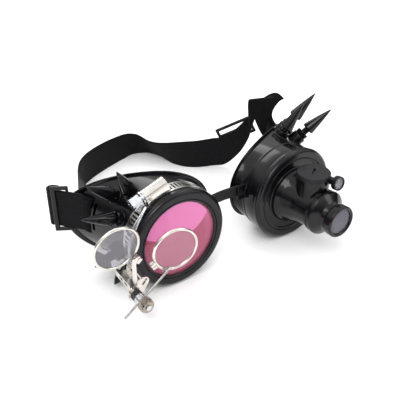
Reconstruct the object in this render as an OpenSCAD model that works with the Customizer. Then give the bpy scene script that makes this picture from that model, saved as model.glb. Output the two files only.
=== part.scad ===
// Pair of screw-lens goggles. The left cup has a tinted lens and a clamp with two
// swing loupes, the right cup has a magnifier with a small lamp. Cone studs stand on
// both cups, a short strap joins them over the nose and a wide strap goes round the head.
// X runs to the viewer's right, Y to the back of the head and Z up from the table.

/* [Cups] */
// Distance between the axes of the two cups
cup_spacing = 90; // [86:1:100]
// Clear opening of a bezel
opening_d = 48.6; // [46:0.2:50]
// Width of a bezel round its opening
bezel_border = 7.45; // [7:0.05:8]
// Length of a bezel in front of its cup
bezel_len = 4; // [3.5:0.1:5]
// Length of the collar that a bezel screws into
collar_len = 12; // [11:0.5:14]
// Wall of a collar round the bezel's thread
collar_wall = 2.05; // [1.8:0.05:2.4]
// Wall of a cup behind its collar
cup_wall = 2; // [1.6:0.1:2.4]

/* [Cup rims] */
// Half width of the oval rim that meets the face
rim_half_w = 40; // [38:0.5:42]
// Height of the rim's top above its middle
rim_top_h = 26; // [24:0.5:28]
// Depth of the rim's lowest point below its middle
rim_low_h = 29; // [27:0.5:31]
// How far the rim's middle lies above the cup's axis
rim_rise = 3.5; // [2:0.25:5]
// How far the rim's middle is shifted towards the temple
rim_shift = 5; // [4:0.25:6]
// Squareness of the rim, where 2 gives an ellipse
rim_square = 2.15; // [2:0.05:2.6]
// How far the rim's middle lies behind the bezel's face
rim_depth = 33.7; // [31:0.1:38]
// Slope of the rim back towards the temple, in mm per mm
rim_slope = 0.44; // [0.38:0.01:0.5]
// Extra sweep of the rim at its ends, in mm per square mm
rim_sweep = 0.004; // [0.002:0.0005:0.006]
// How far the rolled lip stands out from the cup
lip_out = 1.8; // [1:0.1:2.5]

/* [Lenses] */
// Thickness of a lens disc
lens_t = 2; // [1.5:0.1:2.5]
// How far a lens disc reaches behind the bezel's lip all round
lens_lap = 1; // [0.8:0.1:1.2]
// Thickness of the rubber gasket behind a lens
gasket_t = 1; // [0.6:0.1:1.4]
// Thickness of the snap ring that holds lens and gasket
snap_t = 1.5; // [1:0.1:1.8]

/* [Magnifier] */
// Largest diameter of the dome on the right cup
dome_d = 38; // [34:1:40]
// Diameter of the dome's waist
waist_d = 26.4; // [25:0.2:28]
// Length of the dome from the bezel's face to the waist's end
dome_len = 23; // [22:0.5:25]
// Diameter of the bell that the waist runs into
bell_d = 29.4; // [27:0.2:31]
// Diameter of the eyepiece ring in front of the bell
eyepiece_d = 21; // [20:0.5:23]
// Distance from the bezel's face to the front of the eyepiece ring
eyepiece_reach = 42; // [41:0.5:44]
// Diameter of the battery cap
cap_d = 21.4; // [21:0.2:23]
// Height of the battery cap's top above the cup's axis
cap_top = 23.7; // [23.2:0.1:25]
// Diameter of a coin cell
cell_d = 12.5; // [12:0.1:13]
// Thickness of a coin cell
cell_t = 2; // [1.6:0.1:2]
// Outer diameter of the lamp's barrel
lamp_d = 9.2; // [8:0.2:9.6]
// Length of the lamp's barrel
lamp_len = 5; // [5:0.5:8]
// Upward tilt of the lamp at rest
lamp_tilt = 7; // [3:1:10]

/* [Hose clamp] */
// Width of the clamp's band
band_w = 8; // [7:0.5:9]
// Thickness of the clamp's band
band_t = 0.7; // [0.5:0.05:0.8]
// Pitch of the slots in the band
slot_pitch = 2.3; // [2:0.1:3]
// Width of one slot in the band
slot_w = 1.25; // [0.9:0.05:1.4]
// Angle of the screw housing round the cup, from the temple side upwards
housing_angle = 70.6; // [66:0.2:76]
// Length of the screw housing
housing_len = 15.5; // [14:0.5:17]
// Width of the clamp screw's hexagon head across its flats
clamp_hex = 7.6; // [7:0.1:8.5]

/* [Loupes] */
// Outer diameter of a loupe's wire rim
loupe_d = 28; // [25:0.5:29]
// Thickness of the wire of a loupe's rim
loupe_wire = 1.8; // [1.5:0.1:2]
// Height of a loupe's lens surface over its edge
loupe_crown = 1; // [0.6:0.1:1.4]
// Diameter of the straight wire that carries the inner loupe
arm_wire = 1.4; // [1:0.1:1.6]
// Thickness of the strip that carries the outer loupe
arm_t = 0.8; // [0.6:0.1:1]
// Diameter of the pivot stud
stud_d = 4.4; // [4:0.1:5]
// Diameter of the knurled thumb nut
nut_d = 8.4; // [8:0.1:10.5]
// Sheet thickness of the bracket
sheet_t = 1; // [0.8:0.1:1.2]

/* [Cone studs] */
// Diameter at the foot of a cone
cone_d = 8.5; // [7.5:0.1:9]
// Length of a cone
cone_len = 21; // [18:0.5:24]
// Length of the two low studs on the left cup
low_cone_len = 9; // [7:0.5:10]
// Width of a stud's hexagon nut across its flats
hex_w = 8; // [7:0.1:9]
// Thickness of a stud's hexagon nut
hex_t = 3.2; // [2.6:0.1:3.6]
// Diameter of the screws that hold the studs
screw_d = 3; // [2.5:0.1:3.2]

/* [Straps] */
// Width of the head strap's webbing
strap_w = 25; // [22:1:26]
// Thickness of the head strap's webbing
strap_t = 1.8; // [1.4:0.1:2]
// Height of the nose strap
nose_strap_h = 7.5; // [6:0.5:9]
// Thickness of the nose strap
nose_strap_t = 1.5; // [1:0.1:2]

/* [Hidden] */
$fn = 64;
run_gap = 0.05;
seat_gap = 0.2;
bezel_r = opening_d / 2 + bezel_border;
axis_z = bezel_r;
collar_r = bezel_r - band_t - run_gap;
collar_bore = collar_r - collar_wall;
spigot_r = collar_bore - run_gap;
collar_y = bezel_len + seat_gap;
collar_end = collar_y + collar_len;
spigot_len = 6;
lens_y = 1.25;
lens_r = opening_d / 2 + lens_lap;
gasket_y = lens_y + lens_t;
snap_y = gasket_y + gasket_t;
shell_r = collar_r - 0.8;
band_y = collar_y + 0.8 + band_w / 2;
housing_r = bezel_r + 3.55;
groove_y = band_y + band_w / 2 + 1.3;
bolt_r = screw_d / 2;
boss_r = hex_w / 2 + 1;
head_r = 2.9;
head_h = 1.6;

// Cup shape: a round collar that flares into an oval, swept-back rim
function curve(v, power) = sign(v) * pow(abs(v), 2 / power);
function rim_x(t) = rim_shift + rim_half_w * curve(cos(t), rim_square);
function rim_z(t) = rim_rise + (sin(t) > 0 ? rim_top_h : rim_low_h) * curve(sin(t), rim_square);
function rim_y(x) = rim_depth + rim_slope * x + rim_sweep * x * x;
function flare(s) = pow(s, 1.7);
function shell_point(t, s, inset) =
    let (f = flare(s), x0 = shell_r * cos(t), z0 = shell_r * sin(t))
    let (x = x0 + (rim_x(t) - x0) * f, z = z0 + (rim_z(t) - z0) * f)
    let (y = (collar_end - 1) * (1 - s) + rim_y(rim_x(t)) * s, k = 1 - inset / norm([x, z]))
    [x * k, y, z * k];
function shell_ring(s, inset, push, sides = 48) =
    [for (i = [0:sides - 1]) shell_point(i * 360 / sides, s, inset) + [0, push, 0]];
function shell_s(angle, y) =
    (y - collar_end + 1) / (rim_y(rim_x(angle)) - collar_end + 1);
function shell_radius(angle, y) =
    let (p = shell_point(angle, max(0, shell_s(angle, y)), 0)) norm([p[0], p[2]]);

// A closed solid through rings of points that all turn the same way
module loft(rings) {
    count = len(rings[0]);
    last = (len(rings) - 1) * count;
    points = [for (r = rings) each r];
    sides = [for (j = [0:len(rings) - 2], i = [0:count - 1])
        let (a = j * count + i, b = j * count + (i + 1) % count)
        each [[a, b, b + count], [a, b + count, a + count]]];
    first_cap = [for (i = [1:count - 2]) [0, i + 1, i]];
    last_cap = [for (i = [1:count - 2]) [last, last + i, last + i + 1]];
    polyhedron(points, concat(sides, first_cap, last_cap));
}

// A round wire through points, with a ring of sides square to its path at each point
function unit(v) = v / norm(v);
function heading(path, i) =
    unit(path[min(i + 1, len(path) - 1)] - path[max(i - 1, 0)]);
module wire(path, r, sides = 8, side_hint = [0, 1, 0]) {
    loft([for (i = [0:len(path) - 1])
        let (h = heading(path, i), u = unit(cross(side_hint, h)), v = cross(h, u))
        [for (k = [0:sides - 1]) path[i] + r * (cos(k * 360 / sides) * v - sin(k * 360 / sides) * u)]]);
}

// A smooth curve through the points of a route, a few steps to each point
function blend(a, b, c, d, t) = 0.5 * (2 * b + (c - a) * t + (2 * a - 5 * b + 4 * c - d) * t * t
    + (3 * b - a - 3 * c + d) * t * t * t);
function smooth(p, steps) = let (n = len(p) - 1)
    concat([for (i = [0:n - 1], k = [0:steps - 1])
        blend(p[max(i - 1, 0)], p[i], p[i + 1], p[min(i + 2, n)], k / steps)], [p[n]]);

// Places: a cup's own frame has its origin on the cup's axis at the bezel's face, X to the temple
module on_right() {
    translate([cup_spacing / 2, 0, axis_z]) children();
}
module on_left() {
    translate([-cup_spacing / 2, 0, axis_z]) mirror([1, 0, 0]) children();
}
module facing_back() {
    rotate([-90, 0, 0]) children();
}
module disc(r, y, len) {
    translate([0, y, 0]) facing_back() cylinder(r = r, h = len);
}
module ring(outer, inner, y, len) {
    translate([0, y, 0]) facing_back() difference() {
        cylinder(r = outer, h = len);
        translate([0, 0, -1]) cylinder(r = inner, h = len + 2);
    }
}
module turned(profile) {
    facing_back() rotate_extrude($fn = 96) polygon(profile);
}

// Studs: place on the cup's surface, then the way the cone points
// Each row: place round the cup, depth, distance of the cone's foot from the axis,
// way that the cone points, forward lean and height of the boss under the nut
cone_out = 5.25;
left_seats = [
    [56, 23, collar_r + cone_out + 0.75, 60, 20, 1],
    [42, 31.5, collar_r + cone_out + 1.5, 37, 13, 1],
    [26, 21, collar_r + cone_out + 0.75, 20, 6, 1]];
right_seats = [
    [58, 30, collar_r + 15, 57, 19, 6],
    [71, 25, collar_r + cone_out + 0.75, 62, 14, 1],
    [43.5, 24, collar_r + 12.4, 46, 21, 6]];
low_seats = [
    [-15, 22, collar_r + 8.5, -16, 6, 1],
    [-38, 20, collar_r + 6.5, -38, 10, 1]];
function foot_gap(seat) = seat[2] - seat_level(seat);
function seat_level(seat) = shell_radius(seat[0], seat[1]) + seat[5];
module at_seat(seat) {
    translate([seat[2] * cos(seat[0]), seat[1], seat[2] * sin(seat[0])])
        rotate([0, -seat[3], 0]) rotate([0, 0, -seat[4]]) rotate([0, 90, 0]) children();
}
module cone_stud(seat, length) {
    gap = foot_gap(seat);
    neck_r = 2.3;
    difference() {
        union() {
            translate([0, 0, hex_t - gap + run_gap]) cylinder(r = neck_r, h = gap - hex_t);
            cylinder(r = cone_d / 2, h = 0.8);
            translate([0, 0, 0.8]) cylinder(r1 = cone_d / 2, r2 = 0.4, h = length - 0.8, $fn = 48);
        }
        translate([0, 0, -gap]) cylinder(r = bolt_r + run_gap, h = gap + 3.2);
    }
}
module stud_nut(seat) {
    translate([0, 0, -foot_gap(seat)]) difference() {
        cylinder(d = hex_w / cos(30), h = hex_t, $fn = 6);
        translate([0, 0, -1]) cylinder(r = bolt_r + run_gap, h = hex_t + 2);
    }
}
module stud_screw(seat) {
    gap = foot_gap(seat);
    grip = seat[5] + cup_wall;
    translate([0, 0, -gap - grip - run_gap]) {
        translate([0, 0, -head_h / 2]) cylinder(r = bolt_r, h = gap + grip + 3 + head_h / 2);
        translate([0, 0, -head_h]) cylinder(r = head_r, h = head_h);
    }
}
module stud_boss(seat) {
    grip = seat[5] + cup_wall;
    translate([0, 0, -foot_gap(seat) - grip - 2]) cylinder(r = boss_r, h = grip + 2);
}
module stud_hole(seat) {
    grip = seat[5] + cup_wall;
    translate([0, 0, -foot_gap(seat) - grip]) {
        translate([0, 0, -1]) cylinder(r = bolt_r + run_gap, h = grip + 4);
        translate([0, 0, -5]) cylinder(r = head_r + 0.3, h = 5);
    }
}

// Lug for the head strap at the temple, and ear for the nose strap
lug_t = 3;
lug_x = rim_shift + rim_half_w - 0.5;
lug_y = rim_y(lug_x) + 4;
lug_len = 7;
slot_len = 4.4;
lug_bar = 2.6;
lug_h = strap_w + 3.6;
nose_y = 16.2;
nose_z = 6;
ear_t = 1.5;
ear_len = 4.9;
ear_h = nose_strap_h + 3;
ear_x = -collar_r - 2.6;
rivet_r = 1;
module nose_ear() {
    difference() {
        translate([-collar_r - ear_len, nose_y - ear_t, nose_z - ear_h / 2])
            cube([ear_len + 1.2, ear_t, ear_h]);
        translate([ear_x, 0, nose_z]) disc(rivet_r + run_gap, nose_y - ear_t - 1, ear_t + 2);
    }
}
module at_lug() {
    translate([lug_x, lug_y, 0]) children();
}
module strap_lug() {
    at_lug() difference() {
        translate([-lug_t / 2, -lug_len, -lug_h / 2])
            cube([lug_t, lug_len + slot_len / 2 + lug_bar, lug_h]);
        translate([-lug_t, -slot_len / 2, -strap_w / 2 - 0.4])
            cube([lug_t * 2, slot_len, strap_w + 0.8]);
    }
}
module cup_inside() {
    disc(collar_bore, collar_y - 1, spigot_len + 2);
    disc(shell_r - cup_wall - 0.5, collar_y, collar_len);
    loft([for (s = [0, 0.2, 0.4, 0.6, 0.8, 0.92, 1, 1.06])
        shell_ring(s, cup_wall, -0.1)]);
}
module cup_outside() {
    disc(collar_r, collar_y, collar_len);
    loft(concat([for (s = [0, 0.2, 0.4, 0.6, 0.8, 0.9]) shell_ring(s, 0, 0)],
        [shell_ring(0.93, -lip_out * 0.7, 0), shell_ring(0.97, -lip_out, 0),
         shell_ring(1, -lip_out * 0.7, 0)]));
}
vent_w = 1.6;
// Each row: lower end and height of a pair of slots
vent_rows = [[4, 8], [-4.4, 4.2]];
module vents() {
    for (y = [39, 43], row = vent_rows)
        translate([shell_r + 1, y, row[0]]) cube([16, vent_w, row[1]]);
}
module eyecup(seats) {
    difference() {
        union() {
            cup_outside();
            strap_lug();
            nose_ear();
            for (seat = seats) at_seat(seat) stud_boss(seat);
        }
        cup_inside();
        ring(collar_r + 1, collar_r - 0.5, groove_y - 0.3, 0.6);
        vents();
        for (seat = seats) at_seat(seat) stud_hole(seat);
    }
}

// Nose strap, which lies behind an ear on each cup
module nose_band() {
    half = cup_spacing / 2 - collar_r - 0.5;
    bow = 1.5;
    rest = nose_y + seat_gap / 2 + nose_strap_t / 2;
    path = [for (i = [-8:8]) let (u = i / 8) [u * half, rest + bow * (1 - u * u), axis_z + nose_z]];
    difference() {
        loft([for (i = [0:16]) let (h = heading(path, i), s = cross(h, [0, 0, 1]))
            let (a = nose_strap_t / 2, b = nose_strap_h / 2)
            [path[i] - s * a - [0, 0, b], path[i] + s * a - [0, 0, b],
             path[i] + s * a + [0, 0, b], path[i] - s * a + [0, 0, b]]]);
        for (side = [-1, 1]) translate([side * (cup_spacing / 2 + ear_x), 0, axis_z + nose_z])
            disc(rivet_r + run_gap, nose_y - 1, 6);
    }
}
module nose_rivet() {
    back = nose_y + nose_strap_t + 0.9;
    translate([ear_x, 0, nose_z]) {
        disc(rivet_r, nose_y - ear_t - 0.5, back - nose_y + ear_t + 1);
        disc(1.8, nose_y - ear_t - 0.8, 0.8);
        disc(1.8, back, 0.8);
    }
}

module left_eyecup() {
    color("#16161a") on_left() eyecup(concat(left_seats, low_seats));
}
module right_eyecup() {
    color("#16161a") on_right() eyecup(right_seats);
}

// Bezels, lens, gaskets and snap rings
module bezel() {
    lip_y = lens_y - run_gap;
    face = bezel_r - 0.75;
    turned([
        [opening_d / 2, 0.75], [opening_d / 2 + 0.5, 0.25], [opening_d / 2 + 1.3, 0.4],
        [opening_d / 2 + 1.5, 0], [face - 1.6, 0], [face - 0.6, 0.25], [face, 1],
        [bezel_r, bezel_len - 1.6], [bezel_r, bezel_len], [spigot_r, bezel_len],
        [spigot_r, bezel_len + spigot_len], [lens_r + run_gap, bezel_len + spigot_len],
        [lens_r + run_gap, lip_y], [opening_d / 2, lip_y]]);
}
module gasket() {
    ring(lens_r - run_gap, lens_r - 2, gasket_y, gasket_t);
}
module snap_ring() {
    ring(lens_r - run_gap, lens_r - 1.6, snap_y, snap_t);
}
module left_bezel() {
    color("#1c1d20") on_left() bezel();
}
module right_bezel() {
    color("#1c1d20") on_right() bezel();
}
module pink_lens() {
    color("#e86fb4") on_left() disc(lens_r - run_gap, lens_y, lens_t);
}
module left_gasket() {
    color("#2a2a2c") on_left() gasket();
}
module right_gasket() {
    color("#2a2a2c") on_right() gasket();
}
module left_snap_ring() {
    color("#222226") on_left() snap_ring();
}
module right_snap_ring() {
    color("#222226") on_right() snap_ring();
}

// Magnifier: a dome with the battery cup, a bell, the eyepiece and its lenses
dome_r = dome_d / 2;
waist_r = waist_d / 2;
bell_r = bell_d / 2;
eye_r = eyepiece_d / 2;
tube_wall = 1.6;
sleeve_r = waist_r - tube_wall - run_gap;
sleeve_wall = 1.2;
bell_y = -dome_len;
bell_len = 12.5;
eye_y = -eyepiece_reach;
eye_len = 6.2;
cup_y = -15;
cup_r = cap_d / 2 - 0.3;
cap_t = 3;
rim_top = cap_top - cap_t;
pocket_r = cell_d / 2 + 0.4;
plug_len = 2;
cell_z = rim_top - plug_len - 0.2 - 2 * cell_t - run_gap;
pocket_floor = cell_z - 1.6;
dome_line = smooth([[lens_r - run_gap - 4.5, 1.2], [dome_r + 0.3, 1.0], [dome_r - 0.3, -1.2],
    [dome_r - 2, -4], [dome_r - 3.6, -8.5], [waist_r + 0.7, -14], [waist_r, bell_y]], 3);
module dome_solid(grow) {
    turned(concat([[0, bell_y], [0, 3]], [[dome_line[0][0], 3]],
        [for (p = dome_line) [p[0] + grow, p[1]]]));
}
module magnifier_solid() {
    bore = waist_r - tube_wall;
    difference() {
        union() {
            disc(lens_r - run_gap, lens_y, lens_t);
            dome_solid(0);
            difference() {
                translate([0, cup_y, 0]) cylinder(r = cup_r, h = rim_top);
                disc(bell_r + 0.4, bell_y - bell_len, bell_len);
            }
            lamp_ears();
        }
        disc(bore, bell_y - 1, dome_len + 6);
        translate([0, -10, 0]) facing_back() cylinder(r1 = bore, r2 = dome_r - 3.4, h = 9);
        disc(dome_r - 3.4, -1.1, 6);
        translate([0, cup_y, pocket_floor]) cylinder(r = pocket_r, h = 20);
        lamp_hinge_room();
    }
}
module magnifier_body() {
    color("#151518") on_right() magnifier_solid();
}
module magnifier_bell() {
    sleeve = sleeve_r;
    inner = sleeve - sleeve_wall;
    neck = eye_r - 2;
    color("#151518") on_right() turned([
        [inner, bell_y + 4], [sleeve, bell_y + 4], [sleeve, bell_y - run_gap],
        [waist_r + 0.2, bell_y - run_gap], [waist_r + 1.2, bell_y - 1.4], [bell_r - 1.2, bell_y - 2.9],
        [bell_r, bell_y - 3.6], [bell_r, bell_y - 5.4], [bell_r - 0.6, bell_y - 6.2],
        [bell_r - 2.6, bell_y - 7.8], [neck + 1, bell_y - 9.6], [neck, bell_y - bell_len],
        [neck, eye_y + 2.2], [neck - 1.2, eye_y + 2.2], [neck - 1.2, bell_y - 9], [inner, bell_y - 4]]);
}
module field_lens() {
    color("#b9bcc4") on_right() disc(sleeve_r - sleeve_wall - run_gap, bell_y + 0.5, 2.4);
}
module eyepiece_ring() {
    neck = eye_r - 2;
    color("#151518") on_right() turned([
        [neck + run_gap, eye_y + eye_len], [neck + 1.4, eye_y + eye_len], [eye_r - 0.3, eye_y + eye_len - 0.6],
        [eye_r, eye_y + eye_len - 1.4], [eye_r, eye_y + 0.8], [eye_r - 0.7, eye_y],
        [eye_r - 1.7, eye_y], [eye_r - 2.2, eye_y + 0.6], [neck - 0.4, eye_y + 0.6],
        [neck - 0.4, eye_y + 0.85], [neck + run_gap, eye_y + 0.85]]);
}
module eyepiece_lens() {
    neck = eye_r - 2;
    bulge = 0.4;
    color("#a5a2ac") on_right() turned(concat(
        [for (i = [0:5]) let (u = i / 5) [(neck - run_gap) * u, eye_y + 0.9 + bulge * u * u]],
        [[neck - run_gap, eye_y + 2.1], [0, eye_y + 2.1]]));
}
module battery_cap() {
    slot_half = 4.2;
    color("#1b1c1e") on_right() translate([0, cup_y, 0]) difference() {
        union() {
            translate([0, 0, rim_top + run_gap]) cylinder(r = cap_d / 2, h = cap_t - 0.5 - run_gap);
            translate([0, 0, cap_top - 0.5]) cylinder(r1 = cap_d / 2, r2 = cap_d / 2 - 0.4, h = 0.5);
            translate([0, 0, rim_top - plug_len]) cylinder(r = pocket_r - run_gap, h = plug_len + 0.5);
        }
        rotate([0, 0, 35]) translate([-slot_half, -0.8, cap_top - 1.2]) cube([2 * slot_half, 1.6, 2]);
    }
}
module coin_cells() {
    color("#c9ccd0") on_right() translate([0, cup_y, cell_z])
        for (i = [0, 1]) translate([0, 0, i * (cell_t + run_gap)]) cylinder(r = cell_d / 2, h = cell_t);
}
module contact_spring() {
    turns = 2.25;
    spring_wire = 0.25;
    rise = cell_z - pocket_floor - 2 * spring_wire - 0.1;
    steps = 27;
    color("#d4c9a8") on_right() translate([0, cup_y, pocket_floor + spring_wire + run_gap])
        wire([for (i = [0:steps]) let (u = i / steps, a = u * turns * 360)
            [(5 - 2 * u) * cos(a), (5 - 2 * u) * sin(a), rise * u]], spring_wire, 6, [0, 0, 1]);
}

// Lamp: a tilting barrel between two ears in front of the battery cup
lamp_r = lamp_d / 2;
lamp_x = 7;
lamp_side = cup_y - sqrt(cup_r * cup_r - lamp_x * lamp_x);
lamp_y = lamp_side - 0.8;
lamp_z = sqrt(pow(bell_r + lamp_r + 0.8, 2) - lamp_x * lamp_x);
cheek_t = 1.2;
cheek_gap = 2.4;
pin_r = 0.7;
module lamp_ears() {
    for (side = [-1, 1])
        translate([lamp_x + side * (cheek_gap + cheek_t) / 2 - cheek_t / 2, 0, lamp_z]) {
            rotate([0, 90, 0]) translate([0, lamp_y, 0]) cylinder(r = 1.5, h = cheek_t);
            translate([0, lamp_y, -1.5]) cube([cheek_t, lamp_side + 3.4 - lamp_y, 3]);
        }
}
module lamp_hinge_room() {
    translate([lamp_x, lamp_y, lamp_z]) rotate([0, 90, 0]) {
        cylinder(r = pin_r + run_gap, h = 2 * (cheek_gap + cheek_t), center = true);
        cylinder(r = 1.8, h = cheek_gap, center = true);
    }
}
module at_lamp() {
    on_right() translate([lamp_x, lamp_y, lamp_z]) rotate([-lamp_tilt, 0, 0]) children();
}
module lamp_hinge_pin() {
    half = cheek_gap / 2 + cheek_t + 0.1;
    color("#8d9095") at_lamp() translate([-half, 0, 0]) rotate([0, 90, 0]) {
        cylinder(r = pin_r, h = 2 * half);
        translate([0, 0, 2 * half]) cylinder(r = 1.2, h = 0.5);
    }
}
lamp_back = -2.2;
lamp_bore = lamp_r - 1;
module lamp_barrel() {
    color("#1a1a1d") at_lamp() difference() {
        union() {
            rotate([0, 90, 0]) cylinder(r = 1.4, h = cheek_gap - 0.3, center = true);
            translate([0, lamp_back / 2 - 0.2, 0]) cube([cheek_gap - 0.3, -lamp_back, 2.8], center = true);
            difference() {
                turned([[0, lamp_back], [lamp_r - 2, lamp_back], [lamp_r, lamp_back - 2],
                    [lamp_r, lamp_back - lamp_len], [0, lamp_back - lamp_len]]);
                for (i = [0:1]) ring(lamp_r + 1, lamp_r - 0.45, lamp_back - 3.2 - i * 1.3, 0.6);
            }
        }
        disc(lamp_bore, lamp_back - lamp_len - 1, lamp_len - 1);
        rotate([0, 90, 0]) cylinder(r = pin_r + run_gap, h = 10, center = true);
    }
}
module lamp_board() {
    color("#e8e4c0") at_lamp() {
        disc(lamp_bore - run_gap, lamp_back - 2.9, 0.8);
        disc(1.4, lamp_back - 3.6, 0.75);
    }
}
module lamp_lens() {
    color("#e6e9ee") at_lamp() {
        disc(lamp_bore - run_gap, lamp_back - lamp_len + 0.3, lamp_len - 4);
    }
}

// Hose clamp on the left collar, which also holds the loupe bracket
worm_r = 2.5;
head_x = 14.6;
module band() {
    outer = collar_r + run_gap + band_t;
    step = slot_pitch / bezel_r * 180 / PI;
    first = housing_angle + 30;
    tail_sweep = 28;
    difference() {
        union() {
            ring(outer, collar_r + run_gap, band_y - band_w / 2, band_w);
            rotate([0, 13 - housing_angle, 0]) translate([0, band_y + band_w / 2 - 0.6, 0])
                rotate([90, 0, 0]) rotate_extrude(angle = tail_sweep)
                    translate([outer - 0.1, 0]) square([band_t + 0.1, band_w - 1.2]);
        }
        for (i = [0:24]) rotate([0, -first - i * step, 0])
            translate([bezel_r, band_y, 0]) cube([4, band_w - 2.6, slot_w], center = true);
        for (i = [0:13]) rotate([0, 34 - housing_angle + i * step, 0])
            translate([bezel_r, band_y, 0]) cube([4, band_w - 2.6, slot_w], center = true);
    }
}
module clamp_band() {
    color("#c8cbd0") on_left() band();
}
module at_housing() {
    on_left() rotate([0, 90 - housing_angle, 0]) translate([0, band_y, housing_r]) children();
}
module clamp_housing() {
    half = housing_len / 2;
    wide = band_w + 2 * 0.7;
    top = 4;
    tail = collar_r + run_gap + 2 * band_t + run_gap;
    color("#d2d5da") difference() {
        at_housing() union() {
            translate([-half, -wide / 2, collar_r + 0.3 - housing_r])
                cube([housing_len, wide, housing_r - collar_r + 1]);
            translate([-half, 0, 0]) rotate([0, 90, 0]) cylinder(r = top, h = housing_len);
            for (side = [-1, 1]) translate([-half, side * (wide / 2 - 1) - 0.8, 1])
                cube([housing_len, 1.6, 1.4]);
        }
        at_housing() translate([-half - 1, 0, 0]) rotate([0, 90, 0])
            cylinder(r = worm_r + 0.3, h = housing_len + 2);
        on_left() disc(collar_r + 0.1, collar_y - 1, collar_len);
        on_left() disc(tail, band_y - band_w / 2 - run_gap, band_w + 2 * run_gap);
    }
}
module clamp_screw() {
    half = housing_len / 2;
    neck = 2.2;
    color("#c9ccd1") at_housing() rotate([0, 90, 0]) difference() {
        union() {
            translate([0, 0, -half + 0.5]) cylinder(r = worm_r, h = housing_len);
            for (i = [0:4]) translate([0, 0, -half + 2 + i * slot_pitch]) cylinder(r = worm_r + 0.25, h = 0.9);
            translate([0, 0, half + 0.3]) cylinder(r = 4.3, h = 1);
            translate([0, 0, half + 1.3]) cylinder(r = neck, h = 1);
            translate([0, 0, half + 2.2]) cylinder(d = clamp_hex / cos(30), h = 6, $fn = 6);
        }
        translate([-0.6, -6, half + 6.9]) cube([1.2, 12, 2]);
    }
}

// Loupe bracket: a foot on the band, a folded channel and a plate that carries the pivot
pivot_x = bezel_r + 5.75;
pivot_z = -16.4;
plate_y = -8.6;
foot_r = collar_r + 2 * run_gap + band_t;
channel_w = 8;
channel_h = 4;
channel_x = pivot_x - 0.9 - channel_w / 2;
foot_w = band_w + 1.2;
foot_start = -50;
foot_sweep = 32;
module foot() {
    translate([0, band_y + foot_w / 2, 0]) rotate([90, 0, 0]) rotate_extrude(angle = foot_sweep) {
        translate([foot_r, 0]) square([sheet_t, foot_w]);
        for (y = [0, foot_w - 0.5]) translate([collar_r + 0.1, y]) square([sheet_t + 0.6, 0.5]);
    }
}
wing = [bezel_r - 0.4, -10.4];
module plate_outline() {
    difference() {
        hull() {
            translate([pivot_x, pivot_z]) circle(r = 4.6, $fn = 32);
            translate(wing) circle(r = 3, $fn = 32);
        }
        translate(wing) rotate([0, 0, -45]) {
            square([3, 1.6], center = true);
            for (side = [-1, 1]) translate([side * 1.5, 0]) circle(r = 0.8, $fn = 24);
        }
    }
}
module channel(length) {
    difference() {
        cube([channel_w, length, channel_h]);
        translate([sheet_t, -1, sheet_t]) cube([channel_w - 2 * sheet_t, length + 2, channel_h]);
        for (i = [0, 1]) translate([channel_w - 2, 3 + i * 5.4, 1.5]) cube([4, 3.4, 1.6]);
    }
}
module loupe_bracket() {
    rear_y = band_y - 2;
    base_z = pivot_z + 4.4;
    drop = 1.9;
    reach = rear_y - plate_y + sheet_t / 2;
    slope = atan(drop / reach);
    foot_front = band_y - foot_w / 2;
    color("#d6d8dc") on_left() difference() {
        union() {
            rotate([0, -foot_start, 0]) foot();
            translate([channel_x, rear_y, base_z]) rotate([slope, 0, 0])
                translate([0, -reach / cos(slope), 0]) channel(reach / cos(slope));
            difference() {
                translate([foot_r * 0.9, foot_front, base_z])
                    cube([channel_x + 2 - foot_r * 0.9, rear_y - foot_front, sheet_t]);
                disc(foot_r + 0.2, collar_y - 1, collar_len);
            }
            translate([0, plate_y, 0]) rotate([90, 0, 0]) linear_extrude(sheet_t) plate_outline();
        }
        translate([pivot_x, 0, pivot_z]) disc(thread_r + run_gap, plate_y - 3, 5);
    }
}
thread_r = 1.6;
washer_y = plate_y - sheet_t - arm_t - 0.2;
washer_len = 3.2;
washer_w = 4.8;
stud_y = washer_y - washer_len - run_gap;
stud_len = 4;
wire_y = stud_y - stud_len / 2;
nut_y = stud_y - stud_len - 0.1;
nut_len = 5.6;
module at_pivot() {
    on_left() translate([pivot_x, 0, pivot_z]) children();
}
wire_angle = 144.8;
module pivot_stud() {
    color("#b9bcc2") at_pivot() difference() {
        union() {
            disc(thread_r, nut_y - nut_len - 0.8, plate_y - nut_y + nut_len + 1.2);
            disc(2.3, plate_y + run_gap, 1.2);
            disc(stud_d / 2 + 1, stud_y - stud_len, stud_len);
        }
        translate([0, wire_y, 0]) rotate([0, 90 - wire_angle, 0])
            cylinder(r = arm_wire / 2 + run_gap, h = 20, center = true, $fn = 32);
    }
}
module square_washer() {
    color("#3a3a3e") at_pivot() difference() {
        translate([-washer_w / 2, washer_y - washer_len, -washer_w / 2])
            cube([washer_w, washer_len, washer_w]);
        disc(thread_r + run_gap, washer_y - washer_len - 1, washer_len + 2);
    }
}
module thumb_nut() {
    knurls = 20;
    color("#d8cdbd") at_pivot() difference() {
        union() {
            disc(nut_d / 2, nut_y - nut_len + 0.8, nut_len - 1.8);
            disc(nut_d / 2 - 0.8, nut_y - nut_len, nut_len);
        }
        disc(thread_r + run_gap, nut_y - nut_len - 1, nut_len + 2);
        for (i = [0:knurls - 1]) rotate([0, i * 360 / knurls, 0])
            translate([nut_d / 2 + 0.25, nut_y - nut_len, 0]) facing_back() cylinder(r = 0.55, h = nut_len, $fn = 16);
    }
}

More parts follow.
